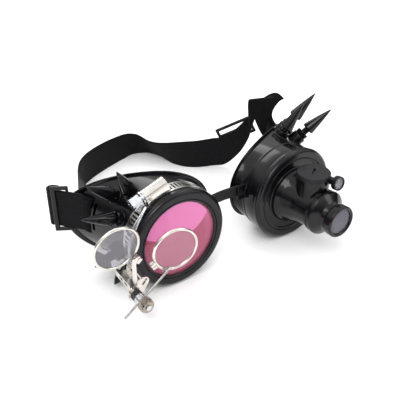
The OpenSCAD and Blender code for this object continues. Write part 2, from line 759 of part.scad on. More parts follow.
// Loupes: each a lens in a wire rim with a small closing block
loupe_r = loupe_d / 2;
rim_r = loupe_wire / 2;
outer_reach = bezel_r + loupe_r + 2.6;
outer_angle = 19.6;
outer_centre = [outer_reach * cos(outer_angle), -7, outer_reach * sin(outer_angle)];
inner_centre = [13.9, -15, 7.6];
module at_outer_loupe() {
    on_left() translate(outer_centre) rotate([0, 0, 1.4]) rotate([7, 0, 0]) children();
}
module at_inner_loupe() {
    on_left() translate(inner_centre) rotate([0, 0, 7]) rotate([4, 0, 0]) children();
}
module wire_rim() {
    difference() {
        facing_back() rotate_extrude($fn = 96) translate([loupe_r - rim_r, 0]) circle(r = rim_r, $fn = 20);
        disc(loupe_r - rim_r + 0.25, -0.6, 1.2);
    }
}
module loupe_glass() {
    edge = loupe_r - rim_r + 0.2;
    bows = [for (i = [0:6]) let (u = i / 6) [edge * u, 0.35 + loupe_crown * (1 - u * u)]];
    turned(concat([for (p = bows) [p[0], -p[1]]], [for (i = [6:-1:0]) bows[i]]));
}
module closing_block(angle) {
    rotate([0, -angle, 0]) difference() {
        translate([loupe_r - 0.6, -1.6, -1.8]) cube([3, 3.2, 3.6]);
        translate([loupe_r + 1.2, 0, 0]) cylinder(r = 0.6, h = 8, center = true, $fn = 24);
    }
}
module rim_screw(angle) {
    rotate([0, -angle, 0]) translate([loupe_r + 1.2, 0, -1.75]) {
        cylinder(r = 0.55, h = 3.6, $fn = 24);
        translate([0, 0, 3.6]) cylinder(r = 1, h = 0.6, $fn = 24);
    }
}
outer_block = 222;
inner_block = 333;
arm_y = plate_y - sheet_t - 0.1;
arm_w = 2.2;
module outer_loupe_rim() {
    color("#cfd2d7") at_outer_loupe() {
        wire_rim();
        closing_block(outer_block);
    }
}
module outer_loupe_lens() {
    color("#9aa0a8") at_outer_loupe() loupe_glass();
}
module outer_loupe_arm() {
    lug = outer_centre + [loupe_r * cos(outer_block), 0, loupe_r * sin(outer_block)];
    color("#cfd2d7") on_left() difference() {
        union() {
            translate([pivot_x, 0, pivot_z]) disc(4, arm_y - arm_t, arm_t);
            translate([pivot_x - arm_w / 2, arm_y - arm_t, pivot_z]) cube([arm_w, arm_t, lug[2] - pivot_z]);
            translate([lug[0] - 1.4, arm_y - arm_t, lug[2] - 2.2])
                cube([pivot_x + arm_w / 2 - lug[0] + 1.4, arm_t, 3.4]);
        }
        translate([pivot_x, 0, pivot_z]) disc(thread_r + run_gap, arm_y - 2, 4);
    }
    color("#cfd2d7") at_outer_loupe() rotate([0, -outer_block, 0])
        translate([loupe_r + 0.1, -1.6 - run_gap - 3, -1.7]) cube([2.2, 3, 3.4]);
}
wire_top = 24.5;
wire_tail = 13.4;
solder_at = 21.3;
module inner_loupe_wire() {
    color("#cfd2d7") at_pivot() {
        translate([0, wire_y, 0]) rotate([0, 90 - wire_angle, 0])
            translate([0, 0, -wire_tail]) cylinder(r = arm_wire / 2, h = wire_tail + wire_top, $fn = 32);
        translate([0, wire_y, 0]) rotate([0, 90 - wire_angle, 0])
            translate([-1.2, 0.3, solder_at - 2.2]) cube([2.4, 1.1, 4.4]);
    }
}
module inner_loupe_rim() {
    color("#cfd2d7") at_inner_loupe() {
        wire_rim();
        closing_block(inner_block);
    }
}
module inner_loupe_lens() {
    color("#b9bcc2") at_inner_loupe() loupe_glass();
}
module inner_rim_screw() {
    color("#c0c3c8") at_inner_loupe() rim_screw(inner_block);
}
module outer_rim_screw() {
    color("#c0c3c8") at_outer_loupe() rim_screw(outer_block);
}

// Spring wires that tie the bracket's end to the clamp, on the temple side
clip_top = [20.2, band_y - band_w / 2 - 0.6, 27.6];
clip_r = 0.5;
clip_back = smooth([clip_top, [25.2, 3.6, 22.6], [29.6, 3.4, 17.3], [33, 3.2, 9], [34.2, 3.4, -2],
    [channel_x + 0.5, 4.6, pivot_z + 8.7]], 2);
clip_front = smooth([clip_top + [0.3, -1.1, 0.3], [24.6, 2.2, 23.6], [28.9, 1.2, 18], [33.4, 1, 9], [35, 1.2, -2],
    [channel_x + 0.5, 2.8, pivot_z + 8.5]], 2);
module clip_wires() {
    color("#c8cbd0") on_left() {
        wire(clip_back, clip_r);
        wire(clip_front, clip_r);
    }
}

module left_cones() {
    color("#141416") on_left() for (seat = left_seats) at_seat(seat) cone_stud(seat, cone_len);
}
module right_cones() {
    color("#141416") on_right() for (seat = right_seats) at_seat(seat) cone_stud(seat, cone_len);
}
module low_cones() {
    color("#141416") on_left() for (seat = low_seats) at_seat(seat) cone_stud(seat, low_cone_len);
}
module left_stud_nuts() {
    color("#141416") on_left() for (seat = concat(left_seats, low_seats)) at_seat(seat) stud_nut(seat);
}
module right_stud_nuts() {
    color("#141416") on_right() for (seat = right_seats) at_seat(seat) stud_nut(seat);
}
module left_stud_screws() {
    color("#8f9297") on_left() for (seat = concat(left_seats, low_seats)) at_seat(seat) stud_screw(seat);
}
module right_stud_screws() {
    color("#8f9297") on_right() for (seat = right_seats) at_seat(seat) stud_screw(seat);
}
module nose_strap() {
    color("#18181a") nose_band();
}
module nose_rivets() {
    color("#222224") {
        on_left() nose_rivet();
        on_right() nose_rivet();
    }
}

// Head strap: a loop through each lug and slider, then one run that lies on the table behind
slider_x = lug_x;
slider_y = lug_y + 15;
slider_bar = 2;
slider_slot = 3.5;
slider_t = 2.4;
slider_h = strap_w + 4;
layer = norm([slider_t, slider_bar]) / 2 + 0.1 + strap_t / 2;
bar_layer = norm([lug_t, lug_bar]) / 2 + 0.1 + strap_t / 2;
left_end = -cup_spacing / 2 - slider_x - layer;
right_end = cup_spacing / 2 + lug_x + bar_layer;
lift = axis_z - strap_w / 2;
// Each row: place along X and Y, height of the webbing over the table, lean
strap_run = [
    [left_end, slider_y, lift, 0], [left_end, slider_y + 8, lift, 0], [left_end + 3.2, 94.5, lift * 0.7, 0],
    [-79, 101.5, lift * 0.4, 0], [-67, 110.5, lift * 0.14, 2], [-55, 124, 0, 4], [-46, 138, 0, 4], [-37, 146, 0, 4], [-24, 153.5, 0, 4],
    [-8, 160, 0, 6], [8, 164.5, 0, 12], [18, 165.5, 0, 24], [26, 161, 0, 34], [29.5, 152, 0, 38],
    [31, 142, 0, 34], [34, 133, 0, 24], [41, 124, 0, 12], [50, 117.5, 0, 6], [61, 112.5, 0.5, 2]];
// Each row: place of the webbing's middle, then the way that its width points
strap_rise = [
    [70, 106.5, 14.5, 0, 0, 1], [76, 100.5, 22, 0, 0, 1], [81, 95.5, 31, 0, -0.05, 1],
    [84.3, 90.5, 42, 0, -0.35, 0.94], [85.2, 87.5, 52, 0, -0.65, 0.76], [86, 87.3, 58.5, 0, -0.8, 0.6],
    [88.3, 87.6, 61.3, 0, -0.8, 0.6], [90.8, 86.5, 58, 0, -0.7, 0.7], [right_end - 0.5, 83.5, 50, 0, -0.4, 0.92],
    [right_end, 79, 39, 0, -0.06, 1], [right_end, lug_y + 9, axis_z, 0, 0, 1]];
function run_row(i) =
    let (r = strap_run[i], h = unit([for (k = [0, 1]) heading(strap_run, i)[k]]), lean = r[3])
    [r[0], r[1], r[2] + strap_w / 2 * cos(lean), h[1] * sin(lean), -h[0] * sin(lean), cos(lean)];
function place(row) = [row[0], row[1], row[2]];
function width_way(row) = unit([row[3], row[4], row[5]]);
module ribbon() {
    rows = smooth(concat([for (i = [0:len(strap_run) - 1]) run_row(i)], strap_rise), 2);
    spots = [for (r = rows) place(r)];
    loft([for (i = [0:len(rows) - 1])
        let (up = width_way(rows[i]), side = unit(cross(heading(spots, i), up)))
        let (a = side * strap_t / 2, b = up * strap_w / 2)
        [spots[i] - a - b, spots[i] + a - b, spots[i] + a + b, spots[i] - a + b]]);
}
module strap_loop(end, tail = []) {
    bar = [lug_x, lug_y + (slot_len + lug_bar) / 2];
    last = len(tail) - 1;
    function edge(i, side) = let (h = heading(tail, i)) tail[i] + side * strap_t / 2 * [h[1], -h[0]];
    translate([0, 0, -strap_w / 2]) linear_extrude(strap_w) {
        difference() {
            hull() {
                translate(bar) circle(r = bar_layer + strap_t / 2, $fn = 32);
                translate([end[0], end[1]]) circle(r = end[2] + strap_t / 2, $fn = 32);
            }
            hull() {
                translate(bar) circle(r = bar_layer - strap_t / 2, $fn = 32);
                translate([end[0], end[1]]) circle(r = end[2] - strap_t / 2, $fn = 32);
            }
        }
        if (last > 0) polygon(concat([for (i = [0:last]) edge(i, 1)], [for (i = [last:-1:0]) edge(i, -1)]));
    }
}
// The strap's sewn end, which lies over the outside of the left cup's flare
tail_x = lug_x + bar_layer;
tail_path = [[tail_x - 0.25, lug_y + 3.5], [tail_x + 0.1, lug_y - 5.8], [tail_x - 0.8, lug_y - 8.8],
    [tail_x - 4.9, lug_y - 14.2], [tail_x - 8, lug_y - 18.6]];
module head_strap() {
    color("#1c1c1e") {
        on_left() strap_loop([slider_x, slider_y, layer], tail_path);
        on_right() strap_loop([lug_x, lug_y + 9, bar_layer]);
        ribbon();
    }
}
module slider() {
    pitch = slider_bar + slider_slot;
    translate([-slider_t / 2, 0, 0]) rotate([0, 90, 0]) linear_extrude(slider_t) difference() {
        square([slider_h, 2 * pitch + slider_bar], center = true);
        for (side = [-1, 1]) translate([0, side * pitch / 2])
            square([strap_w + 0.8, slider_slot], center = true);
    }
}
module left_slider() {
    color("#1a1a1c") on_left() translate([slider_x, slider_y, 0]) slider();
}
module right_slider() {
    color("#1a1a1c") translate([77.8, 102.2, 27]) rotate([0, 0, 45]) slider();
}

left_eyecup();
right_eyecup();
left_bezel();
right_bezel();
pink_lens();
left_gasket();
right_gasket();
left_snap_ring();
right_snap_ring();
magnifier_body();
magnifier_bell();
field_lens();
eyepiece_ring();
eyepiece_lens();
battery_cap();
coin_cells();
contact_spring();
lamp_hinge_pin();
lamp_barrel();
lamp_board();
lamp_lens();
clamp_band();
clamp_housing();
clamp_screw();
clip_wires();
loupe_bracket();
pivot_stud();
square_washer();
thumb_nut();
outer_loupe_arm();
outer_loupe_rim();
outer_loupe_lens();
inner_loupe_wire();
inner_loupe_rim();
inner_loupe_lens();
inner_rim_screw();
outer_rim_screw();
left_cones();
right_cones();
low_cones();
left_stud_nuts();
right_stud_nuts();
left_stud_screws();
right_stud_screws();
nose_strap();
nose_rivets();
head_strap();
left_slider();
right_slider();
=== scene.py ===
"""Looks of a pair of screw-lens goggles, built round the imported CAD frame.

All shapes are worked out in millimetres and put into the meshes in metres. A cup's own
frame has its origin on the cup's axis at the bezel's face: x to the temple, y to the head,
z up. The left cup is the mirror image of the right one.
"""

import math

import bmesh
import bpy
import numpy as np
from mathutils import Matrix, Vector


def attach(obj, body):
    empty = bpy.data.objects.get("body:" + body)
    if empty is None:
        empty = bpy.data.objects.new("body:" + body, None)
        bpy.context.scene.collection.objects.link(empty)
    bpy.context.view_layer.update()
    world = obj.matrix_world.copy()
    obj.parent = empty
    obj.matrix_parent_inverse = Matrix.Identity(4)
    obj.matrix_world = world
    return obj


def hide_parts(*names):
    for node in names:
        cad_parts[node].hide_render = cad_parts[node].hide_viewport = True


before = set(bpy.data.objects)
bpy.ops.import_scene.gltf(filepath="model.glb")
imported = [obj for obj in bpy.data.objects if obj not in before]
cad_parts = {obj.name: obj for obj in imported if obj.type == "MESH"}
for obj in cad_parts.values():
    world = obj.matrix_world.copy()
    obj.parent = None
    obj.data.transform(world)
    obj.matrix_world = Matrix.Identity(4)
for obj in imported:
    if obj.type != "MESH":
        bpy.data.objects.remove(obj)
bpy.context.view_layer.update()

bl_info = {
    "name": "Screw-lens goggles",
    "version": (1, 0, 0),
    "blender": (4, 5, 0),
    "location": "View3D > Sidebar > Goggles",
    "description": "Builds the pieces and finishes of a pair of screw-lens goggles",
    "category": "Add Mesh",
}

MM = 0.001
# Cups, in a cup's own frame
SPACING = 90.0
AXIS_Z = 31.75
BEZEL_R = 31.75
COLLAR_R = 31.0
COLLAR_BORE = 28.95
COLLAR_Y = 4.2
COLLAR_END = 16.2
SHELL_R = 30.2
CUP_WALL = 2.0
RIM_SHIFT, RIM_HALF_W = 5.0, 40.0
RIM_LIFT, RIM_UP, RIM_DOWN = 3.5, 26.0, 29.0
RIM_POWER = 2.15
RIM_DEPTH, RIM_SWEEP, RIM_CURVE = 33.7, 0.44, 0.004
FLARE = 1.7
# Vents, drawn as black sheets of painted shade: width, and (lowest height, length) of a row's two slots
VENT_W = 1.6
VENT_DEPTHS = (40.4, 43.4)
VENT_ROWS = ((7.5, 8.0), (-1.8, 5.0))
# Hose clamp
BAND_Y = 9.0
BAND_PITCH, BAND_SLOT, BAND_SLOT_HALF = 2.3, 1.25, 2.7
HOUSING_ANGLE = 70.6
HOUSING_R = 35.3
# Magnifier
BATTERY_Y = -15.0
LAMP_HINGE = (7.0, -23.49, 18.84)
LAMP_TILT = 7.0
# Straps
STRAP_W = 25.0
STRAP_T = 1.8
SLOT_HALF = STRAP_W / 2 + 0.4
LUG_X = 44.5
LUG_Y = 65.2
NOSE_Y = 16.2
NOSE_Z = 6.0


# ---- sizes and colours
class GogglesSizes(bpy.types.PropertyGroup):
    """Sizes that a user may change"""
    opening: bpy.props.FloatProperty(
        name="Lens opening", description="Clear opening of a bezel", default=0.0486, unit="LENGTH")
    rib_pitch: bpy.props.FloatProperty(
        name="Rib pitch", description="Distance between the webbing's ribs", default=0.00156, unit="LENGTH")
    cone_length: bpy.props.FloatProperty(
        name="Cone length", description="Length of a long cone", default=0.021, unit="LENGTH")
    floor_size: bpy.props.FloatProperty(
        name="Floor size", description="Side of the square floor", default=6.0, unit="LENGTH")


class GogglesColours(bpy.types.PropertyGroup):
    """Colours as sRGB hex values"""
    black: bpy.props.StringProperty(
        name="Moulded black", description="Colour of the glossy black shells", default="#09080B")
    rubber: bpy.props.StringProperty(
        name="Bezel black", description="Colour of the satin bezels", default="#0C0B0E")
    pink: bpy.props.StringProperty(
        name="Pink lens", description="Tint of the coloured lens", default="#E58FD6")
    nickel: bpy.props.StringProperty(
        name="Nickel", description="Colour of the nickel plate", default="#DAD6D0")
    webbing: bpy.props.StringProperty(
        name="Webbing", description="Lighter colour of the strap's yarn", default="#141316")
    floor: bpy.props.StringProperty(
        name="Floor", description="Colour of the floor", default="#FFFFFF")


def sizes():
    """The sizes that the panel shows, in metres."""
    return bpy.context.scene.goggles_sizes


def opening_radius():
    """Half of a bezel's clear opening, in millimetres."""
    return sizes().opening / 2 / MM


def colours():
    """The colours that the panel shows, as hex values."""
    return bpy.context.scene.goggles_colours


def linear(hex_value):
    """sRGB hex to linear colour with alpha 1."""
    s = np.array([int(hex_value[i:i + 2], 16) for i in (1, 3, 5)]) / 255.0
    rgb = np.where(s <= 0.04045, s / 12.92, ((s + 0.055) / 1.055) ** 2.4)
    return (*rgb.tolist(), 1.0)


# ---- mesh helpers
def grid(rows, columns, closed=False):
    """Quads between the points of rings stored one by one; closed joins the last to the first."""
    i, j = np.meshgrid(np.arange(rows if closed else rows - 1), np.arange(columns), indexing="ij")
    i2, j2 = (i + 1) % rows, (j + 1) % columns
    corners = [i * columns + j, i * columns + j2, i2 * columns + j2, i2 * columns + j]
    return np.stack(corners, -1).reshape(-1, 4)


def join(*parts):
    """One list of points and faces from several."""
    points, faces, start = [], [], 0
    for p, f in parts:
        points.append(np.asarray(p, float))
        faces.extend((np.asarray(row) + start).tolist() for row in f)
        start += len(p)
    return np.concatenate(points), faces


def tube(rings, closed=False):
    """Surface through rings of equally many points, closed on itself or by two flat end faces."""
    rings = np.asarray(rings, float)
    n, m = rings.shape[:2]
    faces = grid(n, m, closed).tolist()
    if not closed:
        faces.append(list(range(m))[::-1])
        faces.append(list(range((n - 1) * m, n * m)))
    return rings.reshape(-1, 3), faces


def softened(profile, r, steps=4, closed=False):
    """Each corner of a line is replaced by a quadratic curve that starts and ends r away."""
    p = np.asarray(profile, float)
    out = []
    n = len(p)
    for i in range(n):
        if not closed and i in (0, n - 1):
            out.append(p[i])
            continue
        a, b, c = p[i - 1], p[i], p[(i + 1) % n]
        ra = min(r, 0.45 * np.linalg.norm(a - b))
        rc = min(r, 0.45 * np.linalg.norm(c - b))
        s, e = b + (a - b) / np.linalg.norm(a - b) * ra, b + (c - b) / np.linalg.norm(c - b) * rc
        t = np.linspace(0, 1, steps + 1)[:, None]
        out.extend((1 - t) ** 2 * s + 2 * t * (1 - t) * b + t * t * e)
    return np.array(out)


def turned(profile, sides=144, closed=False):
    """Profile of (radius, y) carried round the y axis; radius 0 makes a pole."""
    p = np.asarray(profile, float)
    a = np.linspace(0, 2 * np.pi, sides, endpoint=False)
    rings = np.stack([p[:, :1] * np.cos(a), np.repeat(p[:, 1:], sides, 1), p[:, :1] * np.sin(a)], -1)
    return rings.reshape(-1, 3), grid(len(p), sides, closed).tolist()


def through(points, steps):
    """Smooth curve through points, by cubic pieces whose slope at a point joins its neighbours."""
    p = np.asarray(points, float)
    q = np.concatenate([p[:1], p, p[-1:]])
    t = (np.arange(steps) / steps)[None, :, None]
    a, b, c, d = (q[k:len(q) - 3 + k, None, :] for k in range(4))
    curve = 0.5 * (2 * b + (c - a) * t + (2 * a - 5 * b + 4 * c - d) * t ** 2
                   + (3 * b - a - 3 * c + d) * t ** 3)
    return np.concatenate([curve.reshape(-1, p.shape[1]), p[-1:]])


def unit(v):
    """Each vector divided by its length."""
    return v / np.maximum(np.linalg.norm(v, axis=-1, keepdims=True), 1e-12)


def headings(path, closed=False):
    """Direction of a path at each point, from its two neighbours."""
    if closed:
        return unit(np.roll(path, -1, 0) - np.roll(path, 1, 0))
    return unit(np.gradient(path, axis=0))


def carried(path, section, up):
    """Section of (side, up) offsets carried along a path and square to it."""
    h = headings(path)
    side = unit(np.cross(h, up))
    top = unit(np.cross(side, h))
    return tube(path[:, None] + side[:, None] * section[:, :1] + top[:, None] * section[:, 1:])


def circle(r, n):
    """Points (r cos a, r sin a) for n equal steps of a."""
    a = np.linspace(0, 2 * np.pi, n, endpoint=False)
    return np.stack([r * np.cos(a), r * np.sin(a)], 1)


def plate(u, v, keep, place, thick):
    """Plate with holes: a grid of cells u by v, of which keep says which are there, carried by
    place(u, v, w) with w from 0 to thick; walls close each edge between a cell and a hole."""
    u, v = np.asarray(u, float), np.asarray(v, float)
    keep = np.asarray(keep, bool)
    uu, vv = np.meshgrid(u, v, indexing="ij")
    low = place(uu.ravel(), vv.ravel(), np.zeros(uu.size))
    high = place(uu.ravel(), vv.ravel(), np.full(uu.size, thick))
    size, columns = len(u) * len(v), len(v)
    i, j = np.nonzero(keep)
    a, b = i * columns + j, (i + 1) * columns + j
    c, d = b + 1, a + 1
    faces = [np.stack([d, c, b, a], 1), np.stack([a, b, c, d], 1) + size]
    padded = np.pad(keep, 1)
    for di, dj, p, q in ((-1, 0, a, d), (1, 0, c, b), (0, -1, b, a), (0, 1, d, c)):
        edge = ~padded[i + 1 + di, j + 1 + dj]
        faces.append(np.stack([p[edge], q[edge], q[edge] + size, p[edge] + size], 1))
    return np.concatenate([low, high]), np.concatenate(faces).tolist()


def turn(axis, degrees):
    """Rotation matrix about an axis of the frame."""
    c, s = math.cos(math.radians(degrees)), math.sin(math.radians(degrees))
    i, j = {"x": (1, 2), "y": (2, 0), "z": (0, 1)}[axis]
    m = np.eye(3)
    m[i, i] = m[j, j] = c
    m[i, j], m[j, i] = -s, s
    return m


def moved(part, matrix=None, shift=(0, 0, 0)):
    """Points turned by a matrix, then shifted."""
    p = np.asarray(part[0], float)
    if matrix is not None:
        p = p @ np.asarray(matrix).T
    return p + np.asarray(shift, float), part[1]


def on_right(part):
    """From a cup's own frame to the right cup's place."""
    return moved(part, None, (SPACING / 2, 0, AXIS_Z))


def on_left(part):
    """From a cup's own frame, mirrored in x, to the left cup's place."""
    return moved(part, np.diag([-1.0, 1.0, 1.0]), (-SPACING / 2, 0, AXIS_Z))


def put(name, part, material, body, replaces=(), sharp=38, bevel=0, weave=None):
    """Makes the object: points in millimetres, doubles merged, faces outward, soft shading except
    over edges sharper than the given angle in degrees; bevel is in millimetres."""
    points, faces = part
    mesh = bpy.data.meshes.new(name)
    mesh.from_pydata((np.asarray(points, float) * MM).tolist(), [], [list(map(int, f)) for f in faces])
    if weave is not None:
        layer = mesh.attributes.new("weave", "FLOAT_VECTOR", "POINT")
        layer.data.foreach_set("vector", np.asarray(weave, np.float32).ravel())
    b = bmesh.new()
    b.from_mesh(mesh)
    bmesh.ops.remove_doubles(b, verts=b.verts, dist=1e-6)
    bmesh.ops.dissolve_degenerate(b, edges=b.edges, dist=1e-7)
    bmesh.ops.recalc_face_normals(b, faces=b.faces)
    b.to_mesh(mesh)
    b.free()
    mesh.polygons.foreach_set("use_smooth", np.ones(len(mesh.polygons), bool))
    mesh.set_sharp_from_angle(angle=math.radians(sharp))
    mesh.materials.append(material)
    obj = bpy.data.objects.new(name, mesh)
    bpy.context.scene.collection.objects.link(obj)
    if bevel:
        m = obj.modifiers.new("Rounded edges", "BEVEL")
        m.width, m.segments = bevel * MM, 2
        m.limit_method, m.angle_limit = "ANGLE", math.radians(35)
        m.harden_normals = True
    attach(obj, body)
    if replaces:
        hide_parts(*replaces)
    return obj


# ---- materials
def add(tree, kind, links=None, **settings):
    """Adds a node with its settings; links gives each input a value or another node's output."""
    n = tree.nodes.new(kind)
    for key, value in settings.items():
        setattr(n, key, value)
    for key, value in (links or {}).items():
        socket = n.inputs[key]
        if isinstance(value, bpy.types.NodeSocket):
            tree.links.new(value, socket)
        else:
            socket.default_value = value
    return n


def material(name, **values):
    """New material with a shader whose sockets are set; returns it, its tree and its shader."""
    m = bpy.data.materials.new(name)
    m.use_nodes = True
    tree = m.node_tree
    shader = tree.nodes["Principled BSDF"]
    for key, value in values.items():
        shader.inputs[key.replace("_", " ")].default_value = value
    return m, tree, shader


def speckled(tree, shader, grain_mm, rough, bump=0.0, depth_mm=0.02, stretch=(1, 1, 1)):
    """Fine noise at a real grain size that varies the roughness and raises a small bump."""
    place = add(tree, "ShaderNodeTexCoord")
    scaled = add(tree, "ShaderNodeMapping", {"Vector": place.outputs["Object"], "Scale": stretch})
    noise = add(tree, "ShaderNodeTexNoise", {
        "Vector": scaled.outputs[0], "Scale": 1 / (grain_mm * MM), "Detail": 4.0,
        "Roughness": 0.6}).outputs["Fac"]
    spread = add(tree, "ShaderNodeMapRange", {
        "Value": noise, "From Min": 0.3, "From Max": 0.7, "To Min": rough[0], "To Max": rough[1]})
    tree.links.new(spread.outputs[0], shader.inputs["Roughness"])
    if bump:
        b = add(tree, "ShaderNodeBump", {"Height": noise, "Strength": bump, "Distance": depth_mm * MM})
        tree.links.new(b.outputs[0], shader.inputs["Normal"])
    return noise


def tinted(tree, shader, value, low, high, span=(0.35, 0.65)):
    """Colour that moves between two hex values as a socket's value moves over a span."""
    spread = add(tree, "ShaderNodeMapRange", {"Value": value, "From Min": span[0], "From Max": span[1]})
    mix = add(tree, "ShaderNodeMix", {0: spread.outputs[0], 6: linear(low), 7: linear(high)},
              data_type="RGBA")
    tree.links.new(mix.outputs[2], shader.inputs["Base Color"])


def hazed(tree, shader, haze, rough, ior, share):
    """Mixes a share of an opaque haze into a clear shader."""
    dust = add(tree, "ShaderNodeBsdfPrincipled", {"Base Color": linear(haze), "Roughness": rough, "IOR": ior})
    mix = add(tree, "ShaderNodeMixShader", {0: share, 1: shader.outputs[0], 2: dust.outputs[0]})
    tree.links.new(mix.outputs[0], tree.nodes["Material Output"].inputs["Surface"])


def grained(name, low, high, grain_mm, rough, bump=0.0, depth_mm=0.02, stretch=(1, 1, 1), **sockets):
    """Material whose colour, roughness and relief follow one noise of a real grain size."""
    m, t, s = material(name, **sockets)
    noise = speckled(t, s, grain_mm, rough, bump, depth_mm, stretch)
    tinted(t, s, noise, low, high)
    return m


FINISHES = {}


def pink_acrylic():
    # Dyed acrylic disc: clear pink, with a little raspberry haze of its own
    m, t, s = material("Pink dyed acrylic", IOR=1.35, Transmission_Weight=1.0)
    noise = speckled(t, s, 30.0, (0.0, 0.02))
    tinted(t, s, noise, colours().pink, "#E995DA")
    hazed(t, s, "#F07C9C", 0.1, 1.35, 0.3)
    return m


def ground_glass(name, low, high, through_light, haze, share):
    # Optical glass; a share of its light is scattered by dust and fine scratches
    m, t, s = material(name, IOR=1.2, Transmission_Weight=through_light)
    noise = speckled(t, s, 12.0, (0.02, 0.06))
    tinted(t, s, noise, low, high)
    hazed(t, s, haze, 0.2, 1.45, share)
    return m


def black_webbing():
    # Woven elastic: lengthwise cords of black yarn, one per rib pitch, with a soft sheen. The threads
    # across it, in truth 0.5 mm apart, are drawn coarser so that they show.
    thread = 0.9
    m, t, s = material("Woven black elastic", Roughness=0.72, Sheen_Weight=0.03, Sheen_Roughness=0.4,
                       IOR=1.22)
    at = add(t, "ShaderNodeAttribute", attribute_name="weave")
    split = add(t, "ShaderNodeSeparateXYZ", {"Vector": at.outputs["Vector"]})
    along = add(t, "ShaderNodeMath", {0: split.outputs[0], 1: 2 * math.pi / thread}, operation="MULTIPLY")
    wave = add(t, "ShaderNodeMath", {0: along.outputs[0]}, operation="SINE")
    across = add(t, "ShaderNodeMath", {0: split.outputs[1], 1: 2 * math.pi * MM / sizes().rib_pitch},
                 operation="MULTIPLY")
    rib = add(t, "ShaderNodeMath", {0: across.outputs[0]}, operation="COSINE")
    both = add(t, "ShaderNodeMath", {0: wave.outputs[0], 1: rib.outputs[0]}, operation="MULTIPLY")
    noise = add(t, "ShaderNodeTexNoise", {"Vector": at.outputs["Vector"], "Scale": 1.3, "Detail": 3.0})
    total = add(t, "ShaderNodeMath", {0: both.outputs[0], 1: noise.outputs["Fac"]}, operation="ADD")
    tinted(t, s, total.outputs[0], "#040405", colours().webbing, (-0.6, 1.6))
    b = add(t, "ShaderNodeBump", {"Height": total.outputs[0], "Strength": 0.5, "Distance": 0.1 * MM})
    t.links.new(b.outputs[0], s.inputs["Normal"])
    return m


def make_finishes():
    """Fills the table of finishes."""
    f = FINISHES
    # Injection-moulded ABS from a polished mould: deep black, sharp reflections, faint ripple
    f["black"] = grained("Moulded glossy ABS", colours().black, "#0E0E11", 9.0, (0.13, 0.22), 0.06, 0.05,
                         IOR=1.3, Coat_Weight=0.14, Coat_Roughness=0.05)
    # Moulded rubbery plastic with a fine spark grain: soft wide highlight
    f["bezel"] = grained("Satin moulded bezel", colours().rubber, "#121115", 0.6, (0.2, 0.3), 0.08,
                         IOR=1.3, Coat_Weight=0.12, Coat_Roughness=0.12)
    # Spark-eroded matt ABS: grey bloom, no sharp reflection
    f["cap"] = grained("Matt moulded cap", "#121214", "#1A1A1D", 0.5, (0.45, 0.6), 0.2, IOR=1.35)
    # Nickel plate over stamped steel: warm silver, mirror-like with soft polishing marks
    f["nickel"] = grained("Bright nickel plate", "#C9C5BE", colours().nickel, 4.0, (0.1, 0.22), 0.05,
                          Metallic=1.0)
    # Rolled stainless band: fine lines along the strip
    f["band"] = grained("Rolled stainless band", "#BDBBB7", "#DCDAD6", 0.9, (0.16, 0.3), 0.08, 0.01,
                        (0.15, 1, 0.15), Metallic=1.0)
    # Bright zinc on turned steel: cooler silver, slightly cloudy
    f["zinc"] = grained("Bright zinc steel", "#B4B6BA", "#D2D4D8", 1.5, (0.16, 0.3), 0.04, 0.01, Metallic=1.0)
    # Knurled nickel nut: satin, warm silver
    f["warm"] = grained("Knurled warm nickel", "#7E776E", "#B4ACA0", 1.0, (0.2, 0.34), 0.06, 0.01,
                        Metallic=1.0)
    # Blackened steel: dark, half matt
    f["dark"] = grained("Blackened steel", "#1E1E21", "#2B2B2F", 1.0, (0.3, 0.45), 0.06, 0.01, Metallic=0.6)
    f["pink"] = pink_acrylic()
    f["glass"] = ground_glass("Loupe glass", "#FDFCFD", "#FFFFFF", 1.0, "#FBE8F4", 0.05)
    # Grey tint: painted shade for the darker things seen through the outer loupe; the lamp's glass takes it
    # too
    f["grey_shaded_glass"] = ground_glass("Grey loupe glass with painted shade", "#CFCCD2", "#DAD7DC", 1.0, "#B4B1B8", 0.24)
    f["front_glass"] = ground_glass("Eyepiece glass", "#77747F", "#86838E", 0.6, "#8A8792", 0.08)
    # Drawn spring wire: grey steel, half bright
    f["wire"] = grained("Dark spring wire", "#8C8A88", "#A8A6A2", 1.5, (0.2, 0.32), Metallic=1.0)
    # Painted shade: a black sheet for the dark inside of an open slot, with no reflection at all
    f["void"] = grained("Shadow of an open slot", "#000000", "#020202", 2.0, (0.95, 1.0), IOR=1.0)
    f["webbing"] = black_webbing()
    # Moulded rubber: dull black with a fine grain
    f["rubber"] = grained("Gasket rubber", "#101011", "#1A1A1B", 0.8, (0.6, 0.75), 0.25, 0.03, IOR=1.35)
    # Coated leather: black with a fine grain and a faint shine
    f["leather"] = grained("Coated nose strap", "#0E0E10", "#1B1B1D", 0.7, (0.4, 0.55), 0.25, 0.03, IOR=1.35)
    # Drawn brass wire: yellow metal, half bright
    f["brass"] = grained("Spring brass", "#B8924E", "#CFAE6A", 1.0, (0.2, 0.3), Metallic=1.0)


NODE_FINISH = {
    "battery_cap": "cap", "coin_cells": "zinc", "contact_spring": "brass", "lamp_hinge_pin": "zinc",
    "lamp_board": "zinc", "clamp_screw": "zinc", "loupe_bracket": "nickel", "pivot_stud": "zinc",
    "square_washer": "dark", "thumb_nut": "warm", "outer_loupe_arm": "nickel", "inner_loupe_wire": "wire",
    "inner_rim_screw": "zinc", "outer_rim_screw": "zinc", "left_stud_screws": "zinc",
    "right_stud_screws": "zinc", "nose_rivets": "dark", "left_gasket": "rubber", "right_gasket": "rubber",
    "left_snap_ring": "bezel", "right_snap_ring": "bezel", "field_lens": "glass", "clamp_housing": "nickel"}


def dress_nodes():
    """Gives every CAD node its finish, black where the table names none."""
    for name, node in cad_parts.items():
        node.data.materials.clear()
        node.data.materials.append(FINISHES[NODE_FINISH.get(name, "black")])


# ---- cups
def power(v, k):
    """Sign of v times its size to the power 2 / k, which makes a circle squarer."""
    return np.sign(v) * np.abs(v) ** (2 / k)


